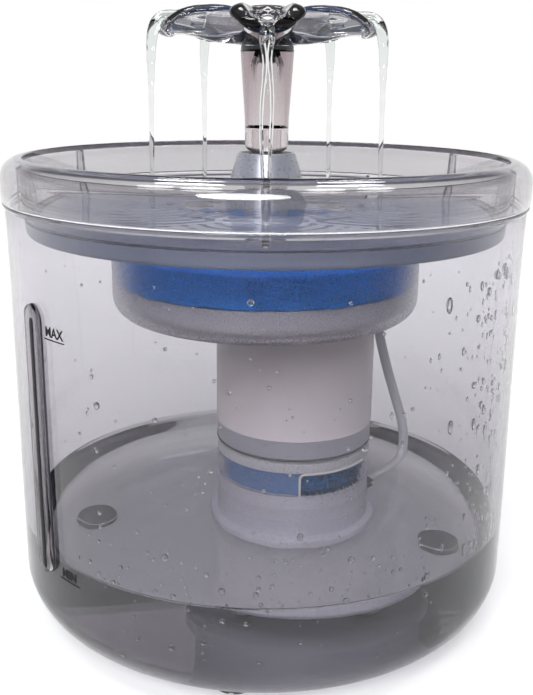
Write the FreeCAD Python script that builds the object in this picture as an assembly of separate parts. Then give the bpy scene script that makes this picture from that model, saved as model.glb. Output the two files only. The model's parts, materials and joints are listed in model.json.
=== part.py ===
import FreeCAD, Part
import math
import os

# A pet water fountain: a clear tub with its drinking tray, a flower spout on the tray's boss,
# a filter cup on a long sleeve, and a pump in its own round housing that stands off centre.
# Millimetres, +Z up, the camera's side is -Y. The origin is under the middle of the tub, at the
# height on which the rubber feet stand. Azimuths are degrees from +X, counter-clockwise.

# Tub
FOOT_PROUD = 2.0            # how far the feet stand out under the tub
TANK_R = 89.1               # outer radius at the rim
TANK_DRAFT = 0.6            # how much narrower it is at the bottom round
TANK_HEIGHT = 148.4
TANK_WALL = 2.4
TANK_FLOOR = 2.6
TANK_CORNER = 19.3          # outer round between wall and floor
RIM_BEAD_OUT = 0.7
RIM_BEAD_HEIGHT = 1.8
GAUGE_AZ = -142.4           # raised level gauge bar
GAUGE_WIDTH = 10.0
GAUGE_LOW = 33.0
GAUGE_BELOW_RIM = 27.4
GAUGE_PROUD = 1.6
FOOT_R = 7.5
FOOT_INSET = 22.1           # tub wall to a foot's middle
FOOT_FIRST_AZ = -7.5
FOOT_COUNT = 4
FOOT_SEAT = 1.2             # how deep a foot sits in the floor
FOOT_SLOT_WIDTH = 1.6
FOOT_SLOT_DEPTH = 0.8

# Cable notch in the rim
NOTCH_AZ = 58.0
NOTCH_R = 3.3
NOTCH_DEPTH = 15.9          # from the rim down to the notch's lowest point

# Drinking tray, which is the lid
FIT = 0.3                   # gap between pieces that lift apart
LID_OVER = 0.9              # how far the tray's edge stands out past the tub's rim
LID_WALL = 1.9
LID_HEIGHT = 13.5           # from its lower edge to the crest
LID_LIP_ROUND = 6.6
LIP_WIDTH = 7.4             # outer face to the bowl's wall, at the crest
BOWL_DRAFT = 1.8
BOWL_DEPTH = 21.0           # crest to floor at the wall
BOWL_ROUND = 3.0
FLOOR_RISE = 2.8            # the floor climbs this much towards the boss
BOSS_FOOT_R = 14.8
BOSS_SHOULDER_R = 12.2
BOSS_SHOULDER_DROP = 7.5    # mouth to shoulder
BOSS_MOUTH_R = 9.9
BOSS_MOUTH_ABOVE = 0.8      # mouth above the crest
BOSS_WALL = 1.1
BOSS_FOOT_ROUND = 1.5
BOSS_SHOULDER_ROUND = 4.0
EDGE_ROUND = 0.4            # broken edge of a moulding
DRAIN_COUNT = 10
DRAIN_IN_R = 19.0
DRAIN_OUT_R = 27.0
DRAIN_WIDTH = 2.6
DRAIN_FIRST_AZ = 18.0
RIB_COUNT = 6
RIB_FIRST_AZ = 30.0
RIB_WIDTH = 2.0
RIB_HEIGHT = 4.5
RIB_CHAMFER = 1.5

# Pump housing, off centre
HOUSING_OFF = 16.4
HOUSING_AZ = 45.0
HOUSING_WALL = 2.9
HOUSING_FLOOR = 2.0
PUMP_CLEAR = 0.64           # pump's front corner to the inside of the case
FLANGE_OUT = 3.1            # past the case's wall
FLANGE_HEIGHT = 7.5
FLANGE_EDGE = 1.5           # height of its bevelled foot
CUP_STAND = 2.5             # suction cups hold the case this far above the tub's floor
SUCTION_R = 5.0
SUCTION_INSET = 5.8         # case wall to a suction cup's middle
SUCTION_COUNT = 4
SUCTION_FIRST_AZ = 45.0
SUCTION_STEM_R = 2.0
SUCTION_LIP = 0.8
CASE_TOP = 43.1
GRID_THICK = 1.6
GRID_LEDGE = 1.0
GRID_FIT = 0.1
GRID_SLOT_COUNT = 12
GRID_SLOT_IN_R = 10.1
GRID_SLOT_INSET = 3.6       # from the grid's edge
GRID_RIM = 2.0              # left whole about the riser's hole
WINDOW_RING_OUT = 0.2       # past the case's wall
WINDOW_RING_WALL = 2.0
WINDOW_RING_TOP = 55.6
NECK_HEIGHT = 1.5
NECK_IN = 1.0
WINDOW_FROM = -87.0         # azimuths about the housing's own axis
WINDOW_TO = -30.0
WINDOW_TOP = 51.7
WINDOW_CORNER = 1.6
SPONGE_GAP = 0.2
COLLAR_OUT = 0.3            # past the case's wall
COLLAR_HEIGHT = 6.8
SPIGOT_HEIGHT = 8.0
COLLAR_WALL = 2.0
COLLAR_PLATE = 2.0

# Filter cup and its sleeve
SLEEVE_OUT = 0.6            # past the case's wall
SLEEVE_WALL = 1.8
CUP_R = 54.6
CUP_WALL = 1.8
CUP_DEEP = 41.9             # tub rim down to the cup's underside
CUP_CORNER = 7.0
CUP_TUBE_R = 8.2
CUP_TUBE_WALL = 1.8
CUP_TUBE_DROP = 2.0         # the middle tube ends this far below the rim
CUP_DRAIN_R = 2.2
CUP_DRAIN_INSET = 10.1
CUP_DRAIN_FROM = 135.0
CUP_DRAIN_STEP = 30.0
CUP_DRAIN_COUNT = 7

# Filter cartridge and sponge
CARTRIDGE_SIDE_GAP = 1.2
CARTRIDGE_WALL = 1.2
CARTRIDGE_BASE = 1.0
CARTRIDGE_HEIGHT = 9.6
CARTRIDGE_GAP = 0.3
CARTRIDGE_HOLE_GAP = 0.5
CARTRIDGE_ROUND = 3.4       # inside, between floor and wall
LAYER_GAP = 0.1
RESIN_THICK = 3.4
CARBON_THICK = 3.0
FELT_THICK = 1.4
SPONGE_THICK = 11.0
SPONGE_SIDE_GAP = 0.6
FILTER_SLOT_COUNT = 12
FILTER_SLOT_WIDTH = 3.0
FILTER_SLOT_INSET = 6.6     # from the cartridge's hole and from its edge

# Riser
RISER_R = 5.2
RISER_BORE = 3.9
RISER_ABOVE_MOUTH = 8.0
NOZZLE_FIT = 0.1
NOZZLE_TOP = 46.0
NOZZLE_SHOULDER_R = 6.0
NOZZLE_SHOULDER_Z = 39.0
NOZZLE_BORE = 2.6
SEAL_R = 7.2
SEAL_LIP_R = 8.6
SEAL_LIP = 1.0

# Pump, along an axis that runs out from the riser through the housing's own axis
PUMP_Z = 25.0
VOLUTE_R = 11.6
VOLUTE_FRONT = -4.0
MOTOR_FRONT = 4.0
MOTOR_BACK = 31.0
MOTOR_R = 15.5
CHAMBER_R = 9.4
WELL_R = 6.6
WELL_WALL = 1.0
WELL_END = 19.5
WELL_CAP = 2.7
COVER_THICK = 2.6
COVER_PORT_R = 7.6
COVER_HUB_R = 4.4
COVER_SPOKES = 3
COVER_SPOKE_WIDTH = 1.8
STATOR_R = 13.6
STATOR_FROM = 9.0
STATOR_TO = 17.0
COIL_RING_R = 12.8
COIL_RING_THICK = 2.5
COIL_RING_GAP = 0.5
STATOR_FIT = 0.1
BOARD_R = 12.5
BOARD_FROM = 23.0
BOARD_THICK = 1.6
MOTOR_CAP_FROM = 27.0
SHAFT_R = 1.5
SHAFT_FIT = 0.05
BUSH_R = 3.2
BUSH_LENGTH = 1.6
MAGNET_R = 6.2
MAGNET_FROM = 5.0
MAGNET_TO = 18.5
IMPELLER_R = 8.6
IMPELLER_DISC = 1.2
IMPELLER_FROM = -3.2
IMPELLER_BACK = 1.7
IMPELLER_HUB_R = 3.0
VANE_COUNT = 6
VANE_THICK = 1.0

# Cable gland, in the lower case
GLAND_AZ = 25.0             # about the housing's own axis
GLAND_TILT = 30.0
GLAND_Z = 19.0
GLAND_R = 3.9
GLAND_FLANGE_R = 5.2
GLAND_FLANGE = 2.0
GLAND_BOOT = 7.0
GLAND_INSIDE = 4.5

# Flower spout
STEM_R = 7.4
STEM_TOP_R = 9.1
STEM_HEIGHT = 33.4
STEM_BORE = 4.3
STEM_ROUND = 2.2
STEM_SWELL = 0.2            # a third of the way up
STEM_STEP = 4.8             # the bore narrows over this length under the top
STEM_GAP = 0.5              # between the stem's foot and the boss's mouth
SOCKET_FIT = 0.12
SEAT_RING_HEIGHT = 3.9
SEAT_LEDGE_IN = 1.6
MOUTH_FIT = 0.1
STEM_RING = 1.2
STEM_RING_IN = 0.2
HUB_HEIGHT = 5.4
HUB_TOP_R = 10.6
HUB_WALL = 2.0
HUB_FLOOR = 3.6
OUTLET_R = 2.8
OUTLET_BORE = 1.7
OUTLET_HEIGHT = 4.2
OUTLET_BELOW = 3.6          # how far the outlet reaches down into the stem
OUTLET_FIT = 0.1
PETAL_COUNT = 5
PETAL_FIRST_AZ = -90.0
PETAL_LENGTH = 39.6
PETAL_HALF = 11.6           # half width where it is widest
PETAL_LIP = 12.2            # lips above the hub's foot
PETAL_CHANNEL = 5.0         # channel above the hub's foot
PETAL_KEEL = 3.1            # keel above the hub's foot
NICK_R = 3.2

# Lead
CABLE_R = 2.0
COIL_CENTRE_X = 23.0
COIL_CENTRE_Y = 121.0
COIL_OUT_R = 26.5
COIL_PITCH = 4.5            # between turns, and between layers
COIL_LAYERS = 4
COIL_TURNS = 2.0            # turns in each layer
CABLE_ON_FLOOR = 2.1        # height of the cable's middle where it lies on the floor
ARC_SHARE = 0.45            # share of the shorter run that an arc takes up
PLUG_LENGTH = 24.0
PLUG_WIDTH = 15.6
PLUG_THICK = 7.6
PLUG_ROUND = 1.8
RELIEF_LENGTH = 10.0
RELIEF_R = 3.4
RELIEF_TIP_R = 2.5
SHELL_LENGTH = 18.8
SHELL_WIDTH = 12.0
SHELL_THICK = 4.5
SHELL_WALL = 0.3
TONGUE_WIDTH = 11.0
TONGUE_THICK = 1.8
TONGUE_LENGTH = 17.0
SHELL_HOLE = 2.2            # side of the two square latch holes
SHELL_HOLE_FROM = 6.4       # plug body to a latch hole
SHELL_HOLE_OFF = 2.6        # plug's middle to a latch hole's

# Places that follow from the sizes above
RIM_Z = FOOT_PROUD + TANK_HEIGHT
FLOOR_Z = FOOT_PROUD + TANK_FLOOR
GAUGE_HIGH = RIM_Z - GAUGE_BELOW_RIM
FOOT_CIRCLE_R = TANK_R - FOOT_INSET
LID_R = TANK_R + LID_OVER
BOWL_R = LID_R - LIP_WIDTH
HOUSING_R = math.hypot(HOUSING_OFF + COVER_THICK - VOLUTE_FRONT, VOLUTE_R) + PUMP_CLEAR + HOUSING_WALL
FLANGE_R = HOUSING_R + FLANGE_OUT
SUCTION_CIRCLE_R = HOUSING_R - SUCTION_INSET
WINDOW_RING_R = HOUSING_R + WINDOW_RING_OUT
COLLAR_R = HOUSING_R + COLLAR_OUT
SLEEVE_R = HOUSING_R + SLEEVE_OUT
CUP_BOTTOM = RIM_Z - CUP_DEEP
CUP_DRAIN_CIRCLE_R = CUP_R - CUP_DRAIN_INSET
CARTRIDGE_R = CUP_R - CUP_WALL - CARTRIDGE_SIDE_GAP
SPONGE_R = CUP_R - CUP_WALL - SPONGE_SIDE_GAP
HOLE_R = CUP_TUBE_R + CARTRIDGE_HOLE_GAP
FILTER_SLOT_IN = HOLE_R + FILTER_SLOT_INSET
FILTER_SLOT_OUT = CARTRIDGE_R - FILTER_SLOT_INSET
NOTCH_Z = RIM_Z - NOTCH_DEPTH + NOTCH_R
LID_LOW = RIM_Z + FIT
CREST_Z = LID_LOW + LID_HEIGHT
TRAY_Z = CREST_Z - BOWL_DEPTH
MOUTH_Z = CREST_Z + BOSS_MOUTH_ABOVE
RISER_TOP = MOUTH_Z + RISER_ABOVE_MOUTH
CASE_LOW = FLOOR_Z + CUP_STAND
NECK_TOP = WINDOW_RING_TOP + NECK_HEIGHT
COLLAR_TOP = NECK_TOP + COLLAR_HEIGHT
SLEEVE_LOW = COLLAR_TOP + FIT
CUP_RIM = TRAY_Z - LID_WALL + FLOOR_RISE * (BOWL_R - CUP_R) / (BOWL_R - BOSS_FOOT_R) - FIT
PACK_LOW = CUP_BOTTOM + CUP_WALL + CARTRIDGE_GAP
PACK_TOP = PACK_LOW + CARTRIDGE_HEIGHT
STEM_LOW = MOUTH_Z + STEM_GAP
STEM_TOP = STEM_LOW + STEM_HEIGHT
HUB_LOW = STEM_TOP + STEM_RING
HOUSING = FreeCAD.Vector(HOUSING_OFF * math.cos(math.radians(HOUSING_AZ)),
                         HOUSING_OFF * math.sin(math.radians(HOUSING_AZ)), 0)
UP = FreeCAD.Vector(0, 0, 1)


def vec(x, y, z):
    return FreeCAD.Vector(x, y, z)


def around(radius, azimuth, z=0.0):
    """The point at a radius and an azimuth about the tub's axis."""
    turn = math.radians(azimuth)
    return vec(radius * math.cos(turn), radius * math.sin(turn), z)


def corner_arc(before, corner, after, reach):
    """The arc that leaves one leg of a corner and joins the other, each at reach from the corner."""
    to_before = (before - corner).normalize()
    to_after = (after - corner).normalize()
    half = to_before.getAngle(to_after) / 2
    middle = (to_before + to_after).normalize()
    radius = reach * math.tan(half)
    near = corner + middle * (reach / math.cos(half) - radius)
    return corner + to_before * reach, near, corner + to_after * reach, radius


def outline(corners):
    """A closed wire in the XZ plane. Each corner is (x, z) or (x, z, round)."""
    count = len(corners)
    points = [vec(c[0], 0, c[1]) for c in corners]
    starts = []
    edges = []
    for i, corner in enumerate(corners):
        if len(corner) < 3 or corner[2] <= 0:
            starts.append((points[i], points[i]))
            continue
        before = points[i - 1]
        after = points[(i + 1) % count]
        half = (before - points[i]).getAngle(after - points[i]) / 2
        first, near, last, _ = corner_arc(before, points[i], after, corner[2] / math.tan(half))
        starts.append((first, last))
        edges.append((i, Part.Arc(first, near, last).toShape()))
    arcs = dict(edges)
    ordered = []
    for i in range(count):
        if i in arcs:
            ordered.append(arcs[i])
        here = starts[i][1]
        there = starts[(i + 1) % count][0]
        if here.distanceToPoint(there) > 1e-6:
            ordered.append(Part.LineSegment(here, there).toShape())
    return Part.Wire(ordered)


def turned(corners, centre=None):
    """The solid that an outline sweeps about an upright axis."""
    solid = Part.Face(outline(corners)).revolve(vec(0, 0, 0), UP, 360)
    if centre is not None:
        solid.translate(centre)
    return solid


def cylinder(radius, low, high, centre=None, axis=None):
    """A cylinder from low to high along an axis through centre."""
    centre = centre or vec(0, 0, 0)
    axis = axis or UP
    return Part.makeCylinder(radius, high - low, centre + axis * low, axis)


def ring(outer, inner, low, high, centre=None, axis=None):
    return cylinder(outer, low, high, centre, axis).cut(cylinder(inner, low - 1, high + 1, centre, axis))


def box(low, high):
    size = high - low
    return Part.makeBox(size.x, size.y, size.z, low)


def pill(length, width, depth):
    """A round-ended bar along X from 0 to depth in Z, centred on the origin."""
    half = length / 2 - width / 2
    body = box(vec(-half, -width / 2, 0), vec(half, width / 2, depth))
    for side in (-half, half):
        body = body.fuse(cylinder(width / 2, 0, depth, vec(side, 0, 0)))
    return body.removeSplitter()


def turned_copies(solid, count, first=0.0, step=None, centre=None):
    """Copies of a solid at equal steps about an upright axis."""
    step = 360.0 / count if step is None else step
    centre = centre or vec(0, 0, 0)
    copies = []
    for i in range(count):
        copy = solid.copy()
        copy.rotate(centre, UP, first + i * step)
        copies.append(copy)
    return copies


def placed(solid, origin, x_axis, z_axis):
    """A solid drawn about the origin, moved so that its X and Z run along the given axes."""
    turn = FreeCAD.Rotation(x_axis, z_axis.cross(x_axis), z_axis, "ZXY")
    copy = solid.copy()
    copy.Placement = FreeCAD.Placement(origin, turn)
    return copy


made = {}


def keep(name, shape):
    """Writes one node's STEP file and says what it holds."""
    shape = shape if isinstance(shape, Part.Shape) else Part.makeCompound(shape)
    solids = shape.Solids
    if not solids or not shape.isValid():
        raise ValueError(name + " has no valid solid")
    shape = solids[0] if len(solids) == 1 else Part.makeCompound(solids)
    made[name] = shape
    shape.exportStep(os.path.join("parts", name + ".step"))
    print(name, len(solids), "solids,", round(shape.Volume, 1), "mm3")


# Tub: tank and feet

def tank():
    low_r = TANK_R - TANK_DRAFT
    shell = turned([
        (0, FOOT_PROUD),
        (low_r, FOOT_PROUD, TANK_CORNER),
        (TANK_R, RIM_Z - RIM_BEAD_HEIGHT),
        (TANK_R + RIM_BEAD_OUT, RIM_Z - RIM_BEAD_HEIGHT + RIM_BEAD_OUT),
        (TANK_R + RIM_BEAD_OUT, RIM_Z, RIM_BEAD_OUT),
        (TANK_R - TANK_WALL, RIM_Z),
        (low_r - TANK_WALL, FLOOR_Z, TANK_CORNER - TANK_WALL),
        (0, FLOOR_Z),
    ])
    bar = pill(GAUGE_HIGH - GAUGE_LOW, GAUGE_WIDTH, TANK_WALL / 2 + GAUGE_PROUD)
    bar = bar.makeFillet(GAUGE_PROUD / 2, [e for e in bar.Edges if e.BoundBox.ZMin > TANK_WALL / 2])
    outward = around(1, GAUGE_AZ)
    middle = around(TANK_R - TANK_WALL / 2 - TANK_DRAFT / 2, GAUGE_AZ, (GAUGE_LOW + GAUGE_HIGH) / 2)
    shell = shell.fuse(placed(bar, middle, UP, outward))
    across = around(1, NOTCH_AZ)
    near = TANK_R - 4 * TANK_WALL
    far = TANK_R + 4 * TANK_WALL
    slot = cylinder(NOTCH_R, near, far, vec(0, 0, NOTCH_Z), across)
    upper = box(vec(near, -NOTCH_R, NOTCH_Z), vec(far, NOTCH_R, RIM_Z + 1))
    upper.rotate(vec(0, 0, 0), UP, NOTCH_AZ)
    pocket = cylinder(FOOT_R, 0, FOOT_PROUD + FOOT_SEAT, vec(FOOT_CIRCLE_R, 0, 0))
    cuts = turned_copies(pocket, FOOT_COUNT, FOOT_FIRST_AZ) + [slot, upper]
    return shell.cut(cuts).removeSplitter()


def tank_feet():
    foot = cylinder(FOOT_R, 0, FOOT_PROUD + FOOT_SEAT)
    foot = foot.makeFillet(FOOT_PROUD / 3, [e for e in foot.Edges if e.BoundBox.ZMax < 0.1])
    slot = box(vec(-FOOT_R, -FOOT_SLOT_WIDTH / 2, -1), vec(FOOT_R, FOOT_SLOT_WIDTH / 2, FOOT_SLOT_DEPTH))
    foot = foot.cut(slot)
    foot.translate(vec(FOOT_CIRCLE_R, 0, 0))
    return turned_copies(foot, FOOT_COUNT, FOOT_FIRST_AZ)


# Drinking tray

def drinking_tray():
    floor_r = BOWL_R - BOWL_DRAFT
    shoulder_z = MOUTH_Z - BOSS_SHOULDER_DROP
    ledge_z = MOUTH_Z - SEAT_RING_HEIGHT
    seat_r = BOSS_MOUTH_R - BOSS_WALL
    rise_z = TRAY_Z + FLOOR_RISE
    shell = turned([
        (LID_R - LID_WALL, LID_LOW),
        (LID_R, LID_LOW, EDGE_ROUND),
        (LID_R, CREST_Z, LID_LIP_ROUND),
        (BOWL_R, CREST_Z, 0.6),
        (floor_r, TRAY_Z, BOWL_ROUND),
        (BOSS_FOOT_R, rise_z, BOSS_FOOT_ROUND),
        (BOSS_SHOULDER_R, shoulder_z, BOSS_SHOULDER_ROUND),
        (BOSS_MOUTH_R, MOUTH_Z, EDGE_ROUND),
        (seat_r, MOUTH_Z),
        (seat_r, ledge_z),
        (seat_r - SEAT_LEDGE_IN, ledge_z),
        (seat_r - SEAT_LEDGE_IN, ledge_z - BOSS_WALL),
        (BOSS_SHOULDER_R - LID_WALL, shoulder_z - LID_WALL, 2.0),
        (BOSS_FOOT_R - LID_WALL, rise_z - LID_WALL, 1.0),
        (floor_r + LID_WALL, TRAY_Z - LID_WALL, BOWL_ROUND + LID_WALL),
        (BOWL_R + LID_WALL, CREST_Z - LID_WALL, EDGE_ROUND),
        (LID_R - LID_WALL, CREST_Z - LID_WALL, LID_LIP_ROUND - LID_WALL),
    ])
    slot = pill(DRAIN_OUT_R - DRAIN_IN_R, DRAIN_WIDTH, 4 * LID_WALL)
    slot.translate(vec((DRAIN_OUT_R + DRAIN_IN_R) / 2, 0, rise_z - 3 * LID_WALL))
    rib_low = LID_LOW - RIB_HEIGHT
    rib_r = TANK_R - TANK_WALL - FIT
    rib_high = CREST_Z - 0.7 * LID_WALL
    rib = box(vec(BOWL_R, -RIB_WIDTH / 2, rib_low - 1), vec(rib_r, RIB_WIDTH / 2, rib_high))
    keepers = turned([
        (BOWL_R, rib_low + RIB_CHAMFER),
        (rib_r - RIB_CHAMFER, rib_low),
        (rib_r, rib_low + RIB_CHAMFER),
        (rib_r, rib_high),
        (BOWL_R + LID_WALL / 2, rib_high),
    ])
    ribs = [r.common(keepers) for r in turned_copies(rib, RIB_COUNT, RIB_FIRST_AZ)]
    shell = shell.cut(turned_copies(slot, DRAIN_COUNT, DRAIN_FIRST_AZ))
    return shell.fuse(ribs).removeSplitter()


# Flower spout: seat ring, stem, stem ring, outlet and flower head

def spout_seat_ring():
    outer = BOSS_MOUTH_R - BOSS_WALL - MOUTH_FIT
    inner = RISER_R + SOCKET_FIT
    low = MOUTH_Z - SEAT_RING_HEIGHT + MOUTH_FIT
    return turned([(inner, low), (outer, low), (outer, MOUTH_Z, 0.8), (inner, MOUTH_Z, 0.8)])


def spout_stem():
    return turned([
        (RISER_R + SOCKET_FIT, STEM_LOW, EDGE_ROUND),
        (STEM_R, STEM_LOW, STEM_ROUND),
        (STEM_R + STEM_SWELL, STEM_LOW + STEM_HEIGHT / 3),
        (STEM_TOP_R, STEM_TOP),
        (OUTLET_R, STEM_TOP),
        (STEM_BORE, STEM_TOP - STEM_STEP),
        (STEM_BORE, RISER_TOP + FIT + 1.0),
        (RISER_R + SOCKET_FIT, RISER_TOP + FIT),
    ])


def stem_ring():
    return ring(STEM_TOP_R - STEM_RING_IN, OUTLET_R, STEM_TOP, HUB_LOW)


def spout_outlet():
    low = STEM_TOP - OUTLET_BELOW
    high = HUB_LOW + HUB_FLOOR + OUTLET_HEIGHT
    outer = OUTLET_R - OUTLET_FIT
    return turned([(OUTLET_BORE, low), (outer, low), (outer, high, EDGE_ROUND), (OUTLET_BORE, high)])


def petal_section(reach, half, lip, lip_top, channel, under):
    """A closed trough section at a reach from the axis: two round lips, a V channel between them
    and a keel below, as a smooth closed curve through twelve points."""
    side = [
        (0.0, channel),
        (lip * 0.45, channel + (lip_top - channel) * 0.42),
        (lip * 0.85, lip_top - 0.35),
        (lip * 1.02, lip_top),
        (half * 0.97, lip_top - 1.2),
        (half, (lip_top * 0.62 + under * 0.38)),
        (half * 0.62, under + (lip_top - under) * 0.2),
    ]
    right = [vec(reach, w, z) for w, z in side]
    bottom = [vec(reach, 0, under)]
    left = [vec(reach, -w, z) for w, z in side[:0:-1]]
    curve = Part.BSplineCurve()
    curve.interpolate(Points=right + bottom + left, PeriodicFlag=True)
    return Part.Wire(curve.toShape())


def flower_head():
    # shares of the petal's length, half width (half and lip), lip height, channel height and keel height
    stations = [
        (0.19, 0.42, 0.28, 0.79, 1.00, 0.26),
        (0.34, 0.68, 0.48, 0.95, 0.98, 0.13),
        (0.50, 0.88, 0.65, 1.00, 0.96, 0.29),
        (0.70, 1.00, 0.74, 0.98, 0.92, 0.77),
        (0.86, 0.98, 0.71, 0.89, 0.88, 1.00),
        (0.95, 0.88, 0.62, 0.75, 0.80, 0.84),
        (1.00, 0.72, 0.52, 0.64, 0.68, 0.55),
    ]
    wires = []
    for reach, half, lip, lip_top, channel, under in stations:
        wires.append(petal_section(PETAL_LENGTH * reach, PETAL_HALF * half, PETAL_HALF * lip,
                                   HUB_LOW + PETAL_LIP * lip_top, HUB_LOW + PETAL_CHANNEL * channel,
                                   HUB_LOW + PETAL_KEEL * under))
    petal = Part.makeLoft(wires, True, False)
    head = turned([
        (0, HUB_LOW),
        (STEM_TOP_R, HUB_LOW),
        (HUB_TOP_R, HUB_LOW + HUB_HEIGHT - 1.0, 2.0),
        (HUB_TOP_R - HUB_WALL, HUB_LOW + HUB_HEIGHT, 0.6),
        (HUB_TOP_R - 2 * HUB_WALL, HUB_LOW + HUB_FLOOR, 1.0),
        (0, HUB_LOW + HUB_FLOOR),
    ])
    for copy in turned_copies(petal, PETAL_COUNT, PETAL_FIRST_AZ):
        head = head.fuse(copy)
    bore = cylinder(OUTLET_R, HUB_LOW - 1, HUB_LOW + 2 * HUB_HEIGHT)
    # a nick between the two lips at each tip
    nick = Part.makeCone(NICK_R / 8, NICK_R, PETAL_LIP, vec(PETAL_LENGTH + NICK_R / 5, 0, HUB_LOW), UP)
    return head.cut([bore] + turned_copies(nick, PETAL_COUNT, PETAL_FIRST_AZ)).removeSplitter()


# Filter cup and its sleeve

def filter_cup():
    floor_top = CUP_BOTTOM + CUP_WALL
    tube_in = CUP_TUBE_R - CUP_TUBE_WALL
    cup = turned([
        (tube_in, CUP_BOTTOM),
        (CUP_R, CUP_BOTTOM, CUP_CORNER),
        (CUP_R, CUP_RIM, 0.5),
        (CUP_R - CUP_WALL, CUP_RIM, 0.5),
        (CUP_R - CUP_WALL, floor_top, CUP_CORNER - CUP_WALL),
        (CUP_TUBE_R, floor_top, 1.0),
        (CUP_TUBE_R, CUP_RIM - CUP_TUBE_DROP),
        (tube_in, CUP_RIM - CUP_TUBE_DROP),
    ])
    drain = cylinder(CUP_DRAIN_R, CUP_BOTTOM - 1, floor_top + 1, vec(CUP_DRAIN_CIRCLE_R, 0, 0))
    return cup.cut(turned_copies(drain, CUP_DRAIN_COUNT, CUP_DRAIN_FROM, CUP_DRAIN_STEP))


def cup_sleeve():
    return ring(SLEEVE_R, SLEEVE_R - SLEEVE_WALL, SLEEVE_LOW, CUP_BOTTOM, HOUSING)


# Filter cartridge

def filter_case():
    base = PACK_LOW + CARTRIDGE_BASE
    case = turned([
        (HOLE_R, PACK_LOW),
        (CARTRIDGE_R, PACK_LOW, CUP_CORNER - CUP_WALL - CARTRIDGE_GAP),
        (CARTRIDGE_R, PACK_TOP),
        (CARTRIDGE_R - CARTRIDGE_WALL, PACK_TOP),
        (CARTRIDGE_R - CARTRIDGE_WALL, base, CARTRIDGE_ROUND),
        (HOLE_R + CARTRIDGE_WALL, base),
        (HOLE_R + CARTRIDGE_WALL, PACK_TOP),
        (HOLE_R, PACK_TOP),
    ])
    slot = pill(FILTER_SLOT_OUT - FILTER_SLOT_IN, FILTER_SLOT_WIDTH, 4 * CARTRIDGE_BASE)
    slot.translate(vec((FILTER_SLOT_OUT + FILTER_SLOT_IN) / 2, 0, PACK_LOW - 2 * CARTRIDGE_BASE))
    return case.cut(turned_copies(slot, FILTER_SLOT_COUNT))


def filter_layer(low, thick, low_round=0.0):
    inner = HOLE_R + CARTRIDGE_WALL + LAYER_GAP
    outer = CARTRIDGE_R - CARTRIDGE_WALL - LAYER_GAP
    return turned([(inner, low), (outer, low, low_round), (outer, low + thick), (inner, low + thick)])


def sponge_disc():
    low = PACK_TOP
    high = PACK_TOP + SPONGE_THICK
    return turned([(HOLE_R, low), (SPONGE_R, low, 0.8), (SPONGE_R, high, 1.5), (HOLE_R, high)])


# Pump housing

def suction_cups():
    cup = turned([
        (0, FLOOR_Z + SUCTION_LIP),
        (SUCTION_R - SUCTION_LIP, FLOOR_Z),
        (SUCTION_R, FLOOR_Z),
        (SUCTION_R - SUCTION_LIP, FLOOR_Z + SUCTION_LIP),
        (SUCTION_STEM_R, CASE_LOW),
        (SUCTION_STEM_R, CASE_LOW + HOUSING_FLOOR),
        (0, CASE_LOW + HOUSING_FLOOR),
    ])
    cup.translate(HOUSING + vec(SUCTION_CIRCLE_R, 0, 0))
    return turned_copies(cup, SUCTION_COUNT, SUCTION_FIRST_AZ, centre=HOUSING)


def gland_axis():
    tilt = math.radians(GLAND_TILT)
    return around(math.cos(tilt), GLAND_AZ, math.sin(tilt))


def gland_root():
    """Where the gland's axis crosses the lower case's outer face."""
    return HOUSING + around(HOUSING_R, GLAND_AZ, GLAND_Z)


def pump_base():
    inner = HOUSING_R - HOUSING_WALL
    case = turned([
        (0, CASE_LOW),
        (FLANGE_R - 1.0, CASE_LOW),
        (FLANGE_R, CASE_LOW + FLANGE_EDGE, 1.0),
        (FLANGE_R, CASE_LOW + FLANGE_HEIGHT - FLANGE_EDGE, 2.0),
        (HOUSING_R + 0.3, CASE_LOW + FLANGE_HEIGHT, 1.0),
        (HOUSING_R, CASE_TOP),
        (inner + GRID_LEDGE, CASE_TOP),
        (inner + GRID_LEDGE, CASE_TOP - GRID_THICK),
        (inner, CASE_TOP - GRID_THICK),
        (inner, CASE_LOW + HOUSING_FLOOR, 1.5),
        (0, CASE_LOW + HOUSING_FLOOR),
    ], HOUSING)
    peg_at = HOUSING + vec(SUCTION_CIRCLE_R, 0, 0)
    peg = cylinder(SUCTION_STEM_R, CASE_LOW - 1, CASE_LOW + HOUSING_FLOOR, peg_at)
    pegs = turned_copies(peg, SUCTION_COUNT, SUCTION_FIRST_AZ, centre=HOUSING)
    port = cylinder(GLAND_R, -3 * GLAND_INSIDE, GLAND_INSIDE, gland_root(), gland_axis())
    inside = cylinder(inner - HOUSING_WALL, CASE_LOW, CASE_TOP, HOUSING)
    return case.cut(pegs + [port.cut(inside)])


def sponge_grid():
    low = CASE_TOP - GRID_THICK
    outer = HOUSING_R - HOUSING_WALL + GRID_LEDGE
    plate = cylinder(outer - GRID_FIT, low, CASE_TOP, HOUSING)
    slot_out = outer - GRID_SLOT_INSET
    slot = pill(slot_out - GRID_SLOT_IN_R, FILTER_SLOT_WIDTH, 4 * GRID_THICK)
    slot.translate(HOUSING + vec((slot_out + GRID_SLOT_IN_R) / 2, 0, low - GRID_THICK))
    slots = turned_copies(slot, GRID_SLOT_COUNT, HOUSING_AZ, centre=HOUSING)
    middle = cylinder(SEAL_R, low - 1, CASE_TOP + 1)
    rim = cylinder(SEAL_R + GRID_RIM, low - 2, CASE_TOP + 2)
    return plate.cut([s.cut(rim) for s in slots] + [middle])


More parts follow.
